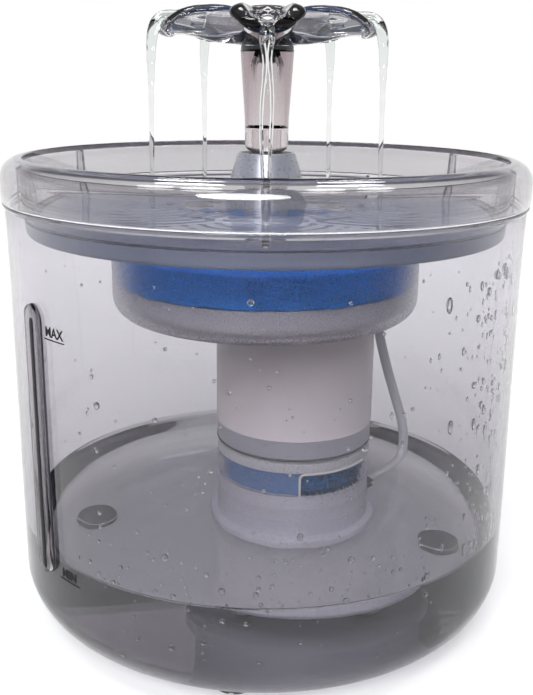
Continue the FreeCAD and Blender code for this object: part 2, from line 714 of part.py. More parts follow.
def window_ring():
    inner = WINDOW_RING_R - WINDOW_RING_WALL
    body = turned([
        (inner, CASE_TOP),
        (WINDOW_RING_R, CASE_TOP),
        (WINDOW_RING_R, WINDOW_RING_TOP, EDGE_ROUND),
        (WINDOW_RING_R - NECK_IN, WINDOW_RING_TOP),
        (WINDOW_RING_R - NECK_IN, NECK_TOP),
        (inner, NECK_TOP),
    ], HOUSING)
    # the window is a wedge of the wall, with its two upper corners rounded
    wedge = Part.Face(outline([
        (inner - 1, CASE_TOP - 1),
        (WINDOW_RING_R + 1, CASE_TOP - 1),
        (WINDOW_RING_R + 1, WINDOW_TOP),
        (inner - 1, WINDOW_TOP),
    ])).revolve(vec(0, 0, 0), UP, WINDOW_TO - WINDOW_FROM)
    wedge.rotate(vec(0, 0, 0), UP, WINDOW_FROM)
    wedge.translate(HOUSING)
    low = WINDOW_TOP - WINDOW_CORNER
    block = box(vec(inner - 2, 0, low), vec(WINDOW_RING_R + 2, WINDOW_CORNER, WINDOW_TOP))
    bar = cylinder(WINDOW_CORNER, inner - 3, WINDOW_RING_R + 3, vec(0, WINDOW_CORNER, low), vec(1, 0, 0))
    first = block.cut(bar)
    last = first.mirror(vec(0, 0, 0), vec(0, 1, 0))
    for block, edge_az in ((first, WINDOW_FROM), (last, WINDOW_TO)):
        block.rotate(vec(0, 0, 0), UP, edge_az)
        block.translate(HOUSING)
        wedge = wedge.cut(block)
    return body.cut(wedge)


def intake_sponge():
    outer = WINDOW_RING_R - WINDOW_RING_WALL - SPONGE_GAP
    sponge = turned([
        (0, CASE_TOP), (outer, CASE_TOP, 0.6), (outer, WINDOW_TOP, 0.8), (0, WINDOW_TOP),
    ], HOUSING)
    return sponge.cut(cylinder(SEAL_R, CASE_TOP - 1, WINDOW_TOP + 1))


def housing_collar():
    spigot_r = SLEEVE_R - SLEEVE_WALL - FIT
    top = COLLAR_TOP + SPIGOT_HEIGHT
    cap = turned([
        (COLLAR_R - COLLAR_WALL, NECK_TOP),
        (COLLAR_R, NECK_TOP),
        (COLLAR_R, COLLAR_TOP, EDGE_ROUND),
        (spigot_r, COLLAR_TOP),
        (spigot_r, top, 0.8),
        (0, top),
        (0, top - COLLAR_PLATE),
        (spigot_r - COLLAR_WALL, top - COLLAR_PLATE, 1.0),
        (spigot_r - COLLAR_WALL, COLLAR_TOP - COLLAR_WALL),
    ], HOUSING)
    return cap.cut(cylinder(SEAL_R, top - COLLAR_PLATE - 1, top + 1))


def riser_seal():
    low = COLLAR_TOP + SPIGOT_HEIGHT - COLLAR_PLATE
    high = COLLAR_TOP + SPIGOT_HEIGHT
    return turned([
        (RISER_R, low), (SEAL_R, low), (SEAL_R, high), (SEAL_LIP_R, high),
        (SEAL_LIP_R, high + SEAL_LIP, EDGE_ROUND), (RISER_R, high + SEAL_LIP),
    ])


def riser_tube():
    return ring(RISER_R, RISER_BORE, NOZZLE_SHOULDER_Z, RISER_TOP)


# Pump and motor, turned about the rotor's axis

PUMP_AXIS = around(1, HOUSING_AZ)
PUMP_CENTRE = vec(0, 0, PUMP_Z)


def along(radius, low, high):
    """A cylinder about the rotor's axis."""
    return cylinder(radius, low, high, PUMP_CENTRE, PUMP_AXIS)


def along_ring(outer, inner, low, high):
    return ring(outer, inner, low, high, PUMP_CENTRE, PUMP_AXIS)


def pump_body():
    body = along(VOLUTE_R, VOLUTE_FRONT, MOTOR_FRONT + 1).fuse(along(MOTOR_R, MOTOR_FRONT, MOTOR_BACK))
    nozzle = cylinder(RISER_BORE - NOZZLE_FIT, PUMP_Z, NOZZLE_TOP)
    shoulder = cylinder(NOZZLE_SHOULDER_R, PUMP_Z, NOZZLE_SHOULDER_Z)
    body = body.fuse([nozzle, shoulder])
    chamber = along(CHAMBER_R, VOLUTE_FRONT - 1, MOTOR_FRONT - 1.5)
    well = along(WELL_R, MOTOR_FRONT - 2, WELL_END)
    bush = along(BUSH_R, WELL_END - 1, WELL_END + BUSH_LENGTH)
    bore = cylinder(NOZZLE_BORE, PUMP_Z, NOZZLE_TOP + 1)
    pocket_from = STATOR_FROM - COIL_RING_THICK - COIL_RING_GAP
    pocket = along_ring(STATOR_R + STATOR_FIT, WELL_R + WELL_WALL, pocket_from, MOTOR_BACK)
    end_space = along(STATOR_R + STATOR_FIT, WELL_END + WELL_CAP, MOTOR_BACK + 1)
    cover_space = along(VOLUTE_R + NOZZLE_FIT, VOLUTE_FRONT - COVER_THICK - NOZZLE_FIT, VOLUTE_FRONT)
    riser_space = ring(RISER_R + FIT, RISER_BORE - NOZZLE_FIT, NOZZLE_SHOULDER_Z, NOZZLE_TOP + 1)
    cuts = [chamber, well, bush, bore, pocket, end_space, cover_space, riser_space]
    return body.cut(cuts).removeSplitter()


def pump_cover():
    low = VOLUTE_FRONT - COVER_THICK
    disc = along(VOLUTE_R, low, VOLUTE_FRONT)
    port = along_ring(COVER_PORT_R, COVER_HUB_R, low - 1, VOLUTE_FRONT + 1)
    half = COVER_SPOKE_WIDTH / 2
    spoke = box(vec(-half, 0, low), vec(half, VOLUTE_R - 1, VOLUTE_FRONT))
    spokes = [placed(s, PUMP_CENTRE, UP, PUMP_AXIS) for s in turned_copies(spoke, COVER_SPOKES)]
    disc = disc.cut(port).fuse(spokes)
    return disc.cut(along(BUSH_R, VOLUTE_FRONT - BUSH_LENGTH, VOLUTE_FRONT + 1)).removeSplitter()


def shaft_bushes():
    front = along_ring(BUSH_R, SHAFT_R, VOLUTE_FRONT - BUSH_LENGTH, VOLUTE_FRONT)
    back = along_ring(BUSH_R, SHAFT_R, WELL_END, WELL_END + BUSH_LENGTH)
    return [front, back]


def impeller():
    bore = SHAFT_R + SHAFT_FIT
    disc_low = IMPELLER_BACK - IMPELLER_DISC
    body = along(IMPELLER_R, disc_low, IMPELLER_BACK)
    body = body.fuse(along(IMPELLER_HUB_R, IMPELLER_FROM, MAGNET_FROM))
    vane = box(vec(-VANE_THICK / 2, IMPELLER_HUB_R - 0.5, IMPELLER_FROM),
               vec(VANE_THICK / 2, IMPELLER_R, IMPELLER_BACK))
    vanes = [placed(v, PUMP_CENTRE, UP, PUMP_AXIS) for v in turned_copies(vane, VANE_COUNT)]
    return body.fuse(vanes).cut(along(bore, IMPELLER_FROM - 1, MAGNET_FROM + 1)).removeSplitter()


def motor_coils():
    front = along_ring(COIL_RING_R, WELL_R + WELL_WALL + 0.2, STATOR_FROM - COIL_RING_THICK, STATOR_FROM)
    back = along_ring(COIL_RING_R, WELL_R + WELL_WALL + 0.2, STATOR_TO, STATOR_TO + COIL_RING_THICK)
    return [front, back]


def cable_gland():
    axis = gland_axis()
    root = gland_root()
    outside = HOUSING_R * (1 - math.cos(math.asin(GLAND_FLANGE_R / HOUSING_R)))
    flange_at = outside + GLAND_FLANGE_R * math.tan(math.radians(GLAND_TILT))
    plug = cylinder(GLAND_R, -GLAND_INSIDE, flange_at, root, axis)
    flange = cylinder(GLAND_FLANGE_R, 0, flange_at + GLAND_FLANGE / 2, root, axis)
    boot = Part.makeCone(GLAND_FLANGE_R - 1.0, CABLE_R + 0.6, GLAND_BOOT, root, axis)
    gland = plug.fuse([flange, boot])
    trimmed = gland.cut(made["pump_base"])
    return max(trimmed.Solids, key=lambda s: s.Volume)


# Lead: free stretches, coil and plug

def gland_exit():
    return gland_root() + gland_axis() * GLAND_BOOT


INNER_ROUTE = [
    (51.9, 30.4, 27.6),
    (58.6, 33.9, 37.4),
    (58.9, 34.5, 49.8),
    (54.6, 34.0, 62.6),
    (50.2, 33.5, 76.0),
    (46.6, 33.8, 89.0),
    (44.9, 36.4, 100.6),
    (44.1, 40.5, 111.9),
    (43.5, 45.3, 122.8),
    (43.5, 51.7, 130.5),
    (44.0, 59.2, 135.5),
    (45.0, 66.8, 137.8),
    (46.6, 74.6, 137.8),
]
OUTER_ROUTE = [
    (46.6, 74.6, 137.8),
    (48.6, 84.4, 137.8),
    (50.7, 94.8, 132.2),
    (52.0, 101.4, 122.2),
    (52.3, 103.0, 110.3),
    (51.8, 100.6, 96.5),
    (51.1, 97.0, 82.0),
    (50.4, 93.7, 67.4),
    (49.9, 91.4, 52.6),
    (49.6, 91.0, 36.5),
    (49.5, 91.0, 19.7),
    (49.5, 94.4, 11.6),
    (49.5, 100.5, 5.4),
    (49.5, 108.6, CABLE_ON_FLOOR),
    (49.5, 117.0, CABLE_ON_FLOOR),
]
TAIL_ROUTE = [
    (49.5, 125.0, 15.6),
    (49.3, 134.6, 15.7),
    (47.0, 144.6, 13.6),
    (41.2, 152.8, 9.8),
    (32.6, 158.6, 6.2),
    (22.7, 161.0, 3.9),
    (12.7, 161.0, 3.9),
]


def route_wire(points):
    """Straight runs joined by tangent arcs, each as large as its two runs allow."""
    points = [vec(*p) for p in points]
    edges = []
    radii = []
    here = points[0]
    for i in range(1, len(points) - 1):
        shorter = min(points[i].distanceToPoint(points[i - 1]), points[i].distanceToPoint(points[i + 1]))
        first, near, last, radius = corner_arc(points[i - 1], points[i], points[i + 1], ARC_SHARE * shorter)
        edges.append(Part.LineSegment(here, first).toShape())
        edges.append(Part.Arc(first, near, last).toShape())
        radii.append(radius)
        here = last
    edges.append(Part.LineSegment(here, points[-1]).toShape())
    return Part.Wire(edges), radii


def tube(wire, start, heading, label):
    """A round tube along a wire, with its volume set against its section times its length."""
    circle = Part.Wire(Part.makeCircle(CABLE_R, start, heading))
    solid = Part.Wire(wire).makePipeShell([circle], True, False)
    expected = math.pi * CABLE_R ** 2 * wire.Length
    share = round(solid.Volume / expected, 4)
    print(label, "length", round(wire.Length, 1), "volume / (section x length)", share)
    return solid


def cable_tube(points, label):
    wire, radii = route_wire(points)
    print(label, "bend radii", [round(r, 1) for r in radii])
    start = vec(*points[0])
    return tube(wire, start, (vec(*points[1]) - start).normalize(), label), wire.Length


def coil_point(turns):
    """The cable's middle after so many turns: the radius falls and rises at a steady rate, and the
    height climbs by one layer in the half turn about each place where the radius turns round."""
    layer = min(int(turns / COIL_TURNS), COIL_LAYERS - 1)
    part = turns - layer * COIL_TURNS
    inward = part if layer % 2 == 0 else COIL_TURNS - part
    radius = COIL_OUT_R - COIL_PITCH * inward
    climb = 0.0
    for change in range(1, COIL_LAYERS):
        phase = (turns - change * COIL_TURNS + 0.25) / 0.5
        phase = min(max(phase, 0.0), 1.0)
        climb += (1 - math.cos(math.pi * phase)) / 2
    angle = 2 * math.pi * turns
    return vec(COIL_CENTRE_X + radius * math.cos(angle), COIL_CENTRE_Y + radius * math.sin(angle),
               CABLE_ON_FLOOR + COIL_PITCH * climb)


def coil_heading(turns):
    step = 0.002
    return (coil_point(turns + step) - coil_point(turns - step)).normalize()


def biarc(start, start_way, end, end_way):
    """Two tangent arcs from one point and direction to another."""
    chord = end - start
    ways = start_way + end_way
    spread = 2 * (1 - start_way.dot(end_way))
    if spread < 1e-9:
        reach = chord.dot(chord) / (4 * chord.dot(end_way))
    else:
        reach = (-chord.dot(ways) + math.sqrt(chord.dot(ways) ** 2 + spread * chord.dot(chord))) / spread
    first_corner = start + start_way * reach
    last_corner = end - end_way * reach
    joint = (first_corner + last_corner) * 0.5
    arcs = []
    for a, corner, b in ((start, first_corner, joint), (joint, last_corner, end)):
        _, near, _, _ = corner_arc(a, corner, b, reach)
        arcs.append(Part.Arc(a, near, b).toShape())
    return arcs


def cable_coil():
    total = COIL_LAYERS * COIL_TURNS
    quarters = int(round(total * 4))
    lead = 2 * CABLE_R
    stops = [coil_point(q / 4) for q in range(quarters + 1)]
    ways = [coil_heading(q / 4) for q in range(quarters + 1)]
    ways[0] = vec(0, 1, 0)
    ways[-1] = vec(0, 1, 0)
    edges = [Part.LineSegment(stops[0] - ways[0] * lead, stops[0]).toShape()]
    for q in range(quarters):
        edges += biarc(stops[q], ways[q], stops[q + 1], ways[q + 1])
    edges.append(Part.LineSegment(stops[-1], stops[-1] + ways[-1] * lead).toShape())
    wire = Part.Wire(edges)
    count = 900
    line = [coil_point(i * total / count) for i in range(count + 1)]
    apart = int(0.5 * count / total)
    least = min(line[i].distanceToPoint(other) for i in range(count) for other in line[i + apart:])
    print("coil least gap to itself", round(least - 2 * CABLE_R, 3))
    return tube(wire, stops[0] - ways[0] * lead, ways[0], "cable_coil"), wire.Length


def plug_pieces():
    end = vec(*TAIL_ROUTE[-1])
    way = vec(-1, 0, 0)
    relief = Part.makeCone(RELIEF_TIP_R, RELIEF_R, RELIEF_LENGTH, end, way)
    body_at = end + way * RELIEF_LENGTH

    def bar(start, length, width, thick, lift=0.0):
        """A bar that runs back along -X from start."""
        low = start + vec(-length, -width / 2, lift - thick / 2)
        return box(low, low + vec(length, width, thick))

    body = bar(body_at, PLUG_LENGTH, PLUG_WIDTH, PLUG_THICK)
    body = body.makeFillet(PLUG_ROUND, [e for e in body.Edges if abs(e.tangentAt(e.FirstParameter).x) > 0.9])
    shell_at = body_at + way * PLUG_LENGTH
    shell = bar(shell_at, SHELL_LENGTH, SHELL_WIDTH, SHELL_THICK)
    inside = bar(shell_at, SHELL_LENGTH + 1, SHELL_WIDTH - 2 * SHELL_WALL, SHELL_THICK - 2 * SHELL_WALL)
    hole_at = shell_at + way * SHELL_HOLE_FROM
    holes = []
    for side in (-1, 1):
        middle = hole_at + vec(0, side * SHELL_HOLE_OFF, 0)
        holes.append(bar(middle, SHELL_HOLE, SHELL_HOLE, SHELL_THICK, SHELL_THICK / 2))
    tongue_lift = SHELL_WALL + TONGUE_THICK / 2 - SHELL_THICK / 2
    tongue = bar(shell_at, TONGUE_LENGTH, TONGUE_WIDTH, TONGUE_THICK, tongue_lift)
    return relief, body, shell.cut([inside] + holes), tongue


os.makedirs("parts", exist_ok=True)

keep("tank", tank())
keep("tank_feet", tank_feet())
keep("drinking_tray", drinking_tray())
keep("spout_seat_ring", spout_seat_ring())
keep("spout_stem", spout_stem())
keep("stem_ring", stem_ring())
keep("spout_outlet", spout_outlet())
keep("flower_head", flower_head())
keep("filter_cup", filter_cup())
keep("cup_sleeve", cup_sleeve())
keep("filter_case", filter_case())
layer_z = PACK_LOW + CARTRIDGE_BASE
keep("resin_layer", filter_layer(layer_z, RESIN_THICK, CARTRIDGE_ROUND + 2 * LAYER_GAP))
keep("carbon_layer", filter_layer(layer_z + RESIN_THICK, CARBON_THICK))
keep("filter_felt", filter_layer(layer_z + RESIN_THICK + CARBON_THICK, FELT_THICK))
keep("sponge_disc", sponge_disc())
keep("pump_suction_cups", suction_cups())
keep("pump_base", pump_base())
keep("sponge_grid", sponge_grid())
keep("housing_window_ring", window_ring())
keep("intake_sponge", intake_sponge())
keep("housing_collar", housing_collar())
keep("riser_seal", riser_seal())
keep("riser_tube", riser_tube())
keep("pump_body", pump_body())
keep("pump_cover", pump_cover())
keep("rotor_shaft", along(SHAFT_R, VOLUTE_FRONT - BUSH_LENGTH, WELL_END + BUSH_LENGTH))
keep("shaft_bushes", shaft_bushes())
keep("impeller", impeller())
keep("rotor_magnet", along_ring(MAGNET_R, SHAFT_R + SHAFT_FIT, MAGNET_FROM, MAGNET_TO))
keep("stator_core", along_ring(STATOR_R, WELL_R + WELL_WALL + STATOR_FIT, STATOR_FROM, STATOR_TO))
keep("motor_coils", motor_coils())
keep("driver_board", along(BOARD_R, BOARD_FROM, BOARD_FROM + BOARD_THICK))
keep("motor_cap", along(STATOR_R, MOTOR_CAP_FROM, MOTOR_BACK))
keep("cable_gland", cable_gland())

exit_point = gland_exit()
inner_solid, inner_length = cable_tube([tuple(exit_point)] + INNER_ROUTE, "cable_inner")
outer_solid, outer_length = cable_tube(OUTER_ROUTE, "cable_outer")
coil_solid, coil_length = cable_coil()
tail_solid, tail_length = cable_tube(TAIL_ROUTE, "cable_tail")
keep("cable_inner", inner_solid)
keep("cable_outer", outer_solid)
keep("cable_coil", coil_solid)
keep("cable_tail", tail_solid)
for name, piece in zip(("plug_relief", "plug_body", "plug_shell", "plug_tongue"), plug_pieces()):
    keep(name, piece)
print("gland exit", [round(c, 2) for c in exit_point])
print("lead length", round(inner_length + outer_length + coil_length + tail_length, 1))
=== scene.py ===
import json
import math

import bmesh
import bpy
import numpy as np
from mathutils import Matrix, Vector

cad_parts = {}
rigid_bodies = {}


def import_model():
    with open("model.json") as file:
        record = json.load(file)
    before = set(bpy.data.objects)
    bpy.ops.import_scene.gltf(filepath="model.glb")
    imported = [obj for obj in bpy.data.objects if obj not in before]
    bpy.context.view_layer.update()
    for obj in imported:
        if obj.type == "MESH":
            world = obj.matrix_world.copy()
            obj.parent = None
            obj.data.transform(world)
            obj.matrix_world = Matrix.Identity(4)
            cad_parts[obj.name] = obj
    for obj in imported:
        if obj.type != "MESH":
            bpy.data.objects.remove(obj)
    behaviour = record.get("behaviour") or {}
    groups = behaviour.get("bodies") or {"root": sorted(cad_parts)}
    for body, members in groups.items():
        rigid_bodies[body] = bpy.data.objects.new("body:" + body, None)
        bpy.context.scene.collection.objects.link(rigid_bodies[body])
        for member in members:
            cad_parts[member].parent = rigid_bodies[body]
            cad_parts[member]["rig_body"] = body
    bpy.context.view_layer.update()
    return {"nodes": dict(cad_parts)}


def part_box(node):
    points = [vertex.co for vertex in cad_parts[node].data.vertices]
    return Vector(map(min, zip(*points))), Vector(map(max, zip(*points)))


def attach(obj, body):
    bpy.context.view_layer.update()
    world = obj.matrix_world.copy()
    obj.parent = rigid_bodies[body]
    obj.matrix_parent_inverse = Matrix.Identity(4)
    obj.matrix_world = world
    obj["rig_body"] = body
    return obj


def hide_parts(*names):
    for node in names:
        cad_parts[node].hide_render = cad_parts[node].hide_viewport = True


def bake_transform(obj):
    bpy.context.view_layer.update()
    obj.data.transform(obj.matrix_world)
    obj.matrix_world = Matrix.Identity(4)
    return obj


bl_info = {
    "name": "Pet Water Fountain",
    "version": (1, 0, 0),
    "blender": (4, 5, 0),
    "location": "3D View > Sidebar > Fountain",
    "description": "Builds a clear pet water fountain around its packed frame",
    "category": "Add Mesh",
}

MM = 0.001
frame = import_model()


def high(node):
    return np.array(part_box(node)[1]) / MM


def low(node):
    return np.array(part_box(node)[0]) / MM


# Places read from the frame, and sizes that several pieces share, in millimetres
RIM_Z = high("tank")[2]
TANK_LOW = low("tank")[2]
TANK_R = 89.1
TANK_WALL = 2.4
WALL_LEAN = 0.6
FLOOR_Z = TANK_LOW + 2.6
LID_LOW = RIM_Z + 0.3
CREST_Z = LID_LOW + 13.5
TRAY_Z = CREST_Z - 21.0
TRAY_RISE = 2.8
TRAY_WALL = 1.9
MOUTH_Z = high("drinking_tray")[2]
SPONGE_LOW = low("sponge_disc")[2]
SPONGE_HIGH = high("sponge_disc")[2]
CASE_TOP = high("pump_base")[2]
RING_TOP = high("housing_window_ring")[2]
HOUSING = (low("intake_sponge")[:2] + high("intake_sponge")[:2]) / 2
WINDOW_RING_R = high("housing_window_ring")[0] - HOUSING[0]
WINDOW_TOP = 51.7
WINDOW_FROM, WINDOW_TO = np.radians((-87.0, -30.0))
STEM_LOW = low("spout_stem")[2]
STEM_TOP = high("spout_stem")[2]
HUB_LOW = high("stem_ring")[2]
GAUGE_AZ = -142.4
GAUGE_Z = 78
NOTCH_AZ = 58.0
LEAD_OVER_Z = 137.8
PETAL_COUNT = 5
PETAL_FIRST = -90.0
PETAL_STEP = 360 / PETAL_COUNT


# Sizes and colours that a user would change

def length_property(name, description, size, least, most):
    return bpy.props.FloatProperty(name=name, description=description, default=size * MM, min=least * MM,
                                   max=most * MM, unit="LENGTH")


def colour_property(name, description, value):
    return bpy.props.FloatVectorProperty(name=name, description=description, subtype="COLOR", default=value,
                                         min=0.01, max=1)


class FountainSizes(bpy.types.PropertyGroup):
    water_level: length_property("Water level", "Height of the water in the tub", 38.0, 10, 100)
    tray_water: length_property("Tray water", "Depth of the water at the tray's wall", 4.4, 1, 10)
    stream_width: length_property("Stream width", "Width of a falling stream where it leaves its petal",
                                  4.0, 1, 6)
    drops: bpy.props.IntProperty(name="Wall drops", description="How many drops cling to the tub's wet side",
                                 default=760, min=0, max=1500)


class FountainColours(bpy.types.PropertyGroup):
    smoke: colour_property("Smoky plastic", "Light that is left after the tub's wall", (0.685, 0.677, 0.70))
    tray: colour_property("Tray plastic", "Light that is left after the tray's wall", (0.82, 0.812, 0.825))
    spout: colour_property("Spout plastic", "Light that is left after seven millimetres of the stem",
                           (0.65, 0.59, 0.605))
    frost: colour_property("Frosted plastic", "Tint of the filter cup and the window ring",
                           (0.93, 0.915, 0.95))
    sponge: colour_property("Sponge", "Colour of the filter sponges", (0.012, 0.26, 0.74))
    jacket: colour_property("Lead", "Colour of the lead's jacket", (0.7, 0.695, 0.715))


# Mesh tools: every shape is worked out as whole arrays

def linked(name, data):
    piece = bpy.data.objects.new(name, data)
    bpy.context.scene.collection.objects.link(piece)
    return piece


def smooth(mesh, angle=32):
    mesh.shade_smooth()
    mesh.set_sharp_from_angle(angle=math.radians(angle))
    return mesh


def mesh_of(name, points, faces):
    """A mesh from points in millimetres and faces."""
    mesh = bpy.data.meshes.new(name)
    mesh.from_pydata((np.asarray(points) * MM).reshape(-1, 3).tolist(), [], faces)
    return mesh


def welded(mesh, gap, cut_z=None):
    """The mesh with points closer than the gap merged, and cut level where a height is given."""
    work = bmesh.new()
    work.from_mesh(mesh)
    bmesh.ops.remove_doubles(work, verts=work.verts, dist=gap)
    if cut_z:
        bmesh.ops.bisect_plane(work, geom=work.verts[:] + work.edges[:] + work.faces[:], dist=1e-7,
                               plane_co=(0, 0, cut_z * MM), plane_no=(0, 0, 1))
    work.to_mesh(mesh)
    work.free()
    return mesh


def surface(name, points, faces, angle=32):
    """A smooth piece from points and faces."""
    return linked(name, smooth(welded(mesh_of(name, points, faces), 1e-7), angle))


def grid_faces(rows, columns, wrap_rows):
    """Quads of a grid: corners (i, j), (i + 1, j), (i + 1, j + 1), (i, j + 1). The columns run round,
    and the rows where asked."""
    i = np.arange(rows if wrap_rows else rows - 1)[:, None]
    j = np.arange(columns)[None, :]
    after_i, after_j = (i + 1) % rows, (j + 1) % columns
    quads = np.stack([i * columns + j, after_i * columns + j, after_i * columns + after_j,
                      i * columns + after_j], -1)
    return quads.reshape(-1, 4)


def skin(name, grid, wrap_rows, flip, angle=32):
    """The smooth surface over a grid of points, with its quads turned over where flip is set."""
    faces = grid_faces(len(grid), grid.shape[1], wrap_rows)
    return surface(name, grid, (faces[:, ::-1] if flip else faces).tolist(), angle)


def polar(r, angle, z):
    """Points (r cos a, r sin a, z)."""
    return np.stack(np.broadcast_arrays(r * np.cos(angle), r * np.sin(angle), z), -1)


def rounded(corners, steps=7):
    """Outline points in (r, z). A corner with a third number is replaced by an arc of that radius
    that touches both legs: its centre lies on the bisector at radius / sin(half angle)."""
    points = np.array([c[:2] for c in corners], float)
    radius = np.array([c[2] if len(c) > 2 else 0.0 for c in corners])
    back = np.roll(points, 1, 0) - points
    ahead = np.roll(points, -1, 0) - points
    back /= np.linalg.norm(back, axis=1, keepdims=True)
    ahead /= np.linalg.norm(ahead, axis=1, keepdims=True)
    half = np.arccos(np.clip((back * ahead).sum(1), -0.999999, 0.999999)) / 2
    middle = back + ahead
    middle /= np.maximum(np.linalg.norm(middle, axis=1, keepdims=True), 1e-9)
    centre = points + middle * (radius / np.sin(half))[:, None]
    start = points + back * (radius / np.tan(half))[:, None] - centre
    end = points + ahead * (radius / np.tan(half))[:, None] - centre
    turn = (math.pi - 2 * half)[:, None]
    t = np.linspace(0, 1, steps)[None, :]
    near, far = np.sin((1 - t) * turn) / np.sin(turn), np.sin(t * turn) / np.sin(turn)
    arcs = centre[:, None] + near[..., None] * start[:, None] + far[..., None] * end[:, None]
    keep = np.ones(arcs.shape[:2], bool)
    keep[radius == 0, 1:] = False
    arcs[radius == 0, 0] = points[radius == 0]
    return arcs[keep]


def lathe(name, corners, segments=160, steps=7, wobble=None):
    """A closed outline turned about the part's axis: point (i, j) is (r_i cos a_j, r_i sin a_j, z_i),
    where a_j goes once round."""
    r, z = rounded(corners, steps).T
    if (r * np.roll(z, -1) - np.roll(r, -1) * z).sum() < 0:
        r, z = r[::-1], z[::-1]
    points = polar(r, np.linspace(0, 2 * math.pi, segments, endpoint=False)[:, None], z)
    return skin(name, wobble(points) if wobble else points, True, False)


def sweep(name, path, radius, sides):
    """A round rod along a path: each ring is the path's point plus radius_i times a circle across
    the path's own direction, and both ends close to a point."""
    path = np.asarray(path, float)
    radius = np.broadcast_to(radius, len(path)).astype(float)
    way = np.gradient(path, axis=0)
    way /= np.maximum(np.linalg.norm(way, axis=1, keepdims=True), 1e-9)
    path, way = [np.vstack([rows[:1], rows, rows[-1:]]) for rows in (path, way)]
    radius = np.concatenate([[0.0], radius, [0.0]])
    side = np.cross(way, np.array([0.31, 0.95, 0.05]))
    side /= np.linalg.norm(side, axis=1, keepdims=True)
    other = np.cross(way, side)
    a = np.linspace(0, 2 * math.pi, sides, endpoint=False)
    ring = np.cos(a)[None, :, None] * side[:, None] + np.sin(a)[None, :, None] * other[:, None]
    return skin(name, path[:, None] + radius[:, None, None] * ring, False, True, 60)


def bar(name, length, width, depth, steps=9):
    """A round-ended bar along X with its top edge eased, from z 0 to depth, as rings of one outline
    drawn in by the easing at the top."""
    half = length / 2 - width / 2
    a = np.linspace(-math.pi / 2, math.pi / 2, steps)
    cap = np.stack([np.cos(a), np.sin(a)], 1) * width / 2
    loop = np.vstack([cap + [half, 0], -cap - [half, 0]])
    ease = min(width, depth) * 0.28
    rings = []
    for inset, z in ((width / 2, 0), (0, 0), (0, depth - ease), (ease * 0.3, depth - ease * 0.3),
                     (ease, depth), (width / 2, depth)):
        centre = np.clip(loop[:, :1], -half, half) * [1, 0]
        out = loop - centre
        scale = (width / 2 - inset) / (width / 2)
        rings.append(np.column_stack([centre + out * scale, np.full(len(loop), z)]))
    return skin(name, np.stack(rings), False, True)


def moved(piece, matrix):
    piece.data.transform(matrix)
    return piece


def turned(piece, degrees):
    return moved(piece, Matrix.Rotation(math.radians(degrees), 4, "Z"))


def shifted(piece, x, y, z):
    return moved(piece, Matrix.Translation((x * MM, y * MM, z * MM)))


def joined(name, pieces):
    """One object from several, with the first one's materials."""
    work = bmesh.new()
    for piece in pieces:
        work.from_mesh(piece.data)
    mesh = bpy.data.meshes.new(name)
    work.to_mesh(mesh)
    work.free()
    for piece in pieces:
        bpy.data.objects.remove(piece)
    return linked(name, mesh)


def copies(piece, count, first):
    """Equal turns of a piece about the part's axis, in place of it."""
    made = []
    for i in range(count):
        made.append(linked(piece.name + str(i), piece.data.copy()))
        turned(made[-1], first + i * 360.0 / count)
    bpy.data.objects.remove(piece)
    return made


def settled(piece, angle=32):
    """The piece's modifiers worked into its mesh."""
    graph = bpy.context.evaluated_depsgraph_get()
    mesh = bpy.data.meshes.new_from_object(piece.evaluated_get(graph))
    piece.modifiers.clear()
    piece.data = mesh
    smooth(mesh, angle)
    return piece


def cut(piece, cutters):
    tool = joined(piece.name + "_cutter", cutters)
    step = piece.modifiers.new("cut", "BOOLEAN")
    step.operation = "DIFFERENCE"
    step.solver = "EXACT"
    step.object = tool
    bpy.context.view_layer.update()
    settled(piece)
    bpy.data.objects.remove(tool)
    return piece


def body_of(node):
    return frame["nodes"][node]["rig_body"]


def finished(piece, name, body, *nodes):
    """Gives a piece its finish, the body it rides and the nodes that it stands for."""
    piece.data.materials.clear()
    piece.data.materials.append(finish(name))
    if nodes:
        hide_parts(*nodes)
    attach(piece, body)
    return piece


def dressed(node, name, above=None, other=None):
    """A smooth copy of a CAD node's mesh, which stands for the node. Faces above a height may take
    another finish, and the mesh is cut there."""
    mesh = smooth(welded(frame["nodes"][node].data.copy(), 2e-6, above))
    piece = finished(linked(node + "_piece", mesh), name, body_of(node), node)
    if other:
        mesh.materials.append(finish(other))
        middles = np.zeros(len(mesh.polygons) * 3)
        mesh.polygons.foreach_get("center", middles)
        mesh.polygons.foreach_set("material_index", (middles[2::3] > above * MM).astype(np.int32))
    return piece


def painted(name, *nodes):
    """Gives CAD nodes a finish and leaves their shape alone."""
    for node in nodes:
        piece = frame["nodes"][node]
        piece.data.materials.clear()
        piece.data.materials.append(finish(name))


# Materials

def put(node, **inputs):
    """Gives a node's inputs their values, or links them where the value is another node's socket. A
    low line in a name stands for a space."""
    for name, value in inputs.items():
        socket = node.inputs[name.replace("_", " ")]
        if isinstance(value, bpy.types.NodeSocket):
            node.id_data.links.new(value, socket)
        else:
            socket.default_value = value
    return node


def add(tree, kind, **inputs):
    return put(tree.nodes.new("ShaderNode" + kind), **inputs)


def new_material(name):
    """A material, its tree, its shader and the object's own coordinates."""
    material = bpy.data.materials.new(name)
    material.use_nodes = True
    tree = material.node_tree
    return material, tree, tree.nodes["Principled BSDF"], add(tree, "TexCoord").outputs["Object"]


def noise(tree, place, scale, detail, roughness):
    made = add(tree, "TexNoise", Vector=place, Scale=scale, Detail=detail, Roughness=roughness)
    return made.outputs["Fac"]


def ramp(tree, value, stops):
    node = add(tree, "ValToRGB", Fac=value)
    for element, (place, shade) in zip(node.color_ramp.elements, (stops[0], stops[-1])):
        element.position = place
        element.color = (*shade, 1)
    for place, shade in stops[1:-1]:
        node.color_ramp.elements.new(place).color = (*shade, 1)
    return node.outputs["Color"]


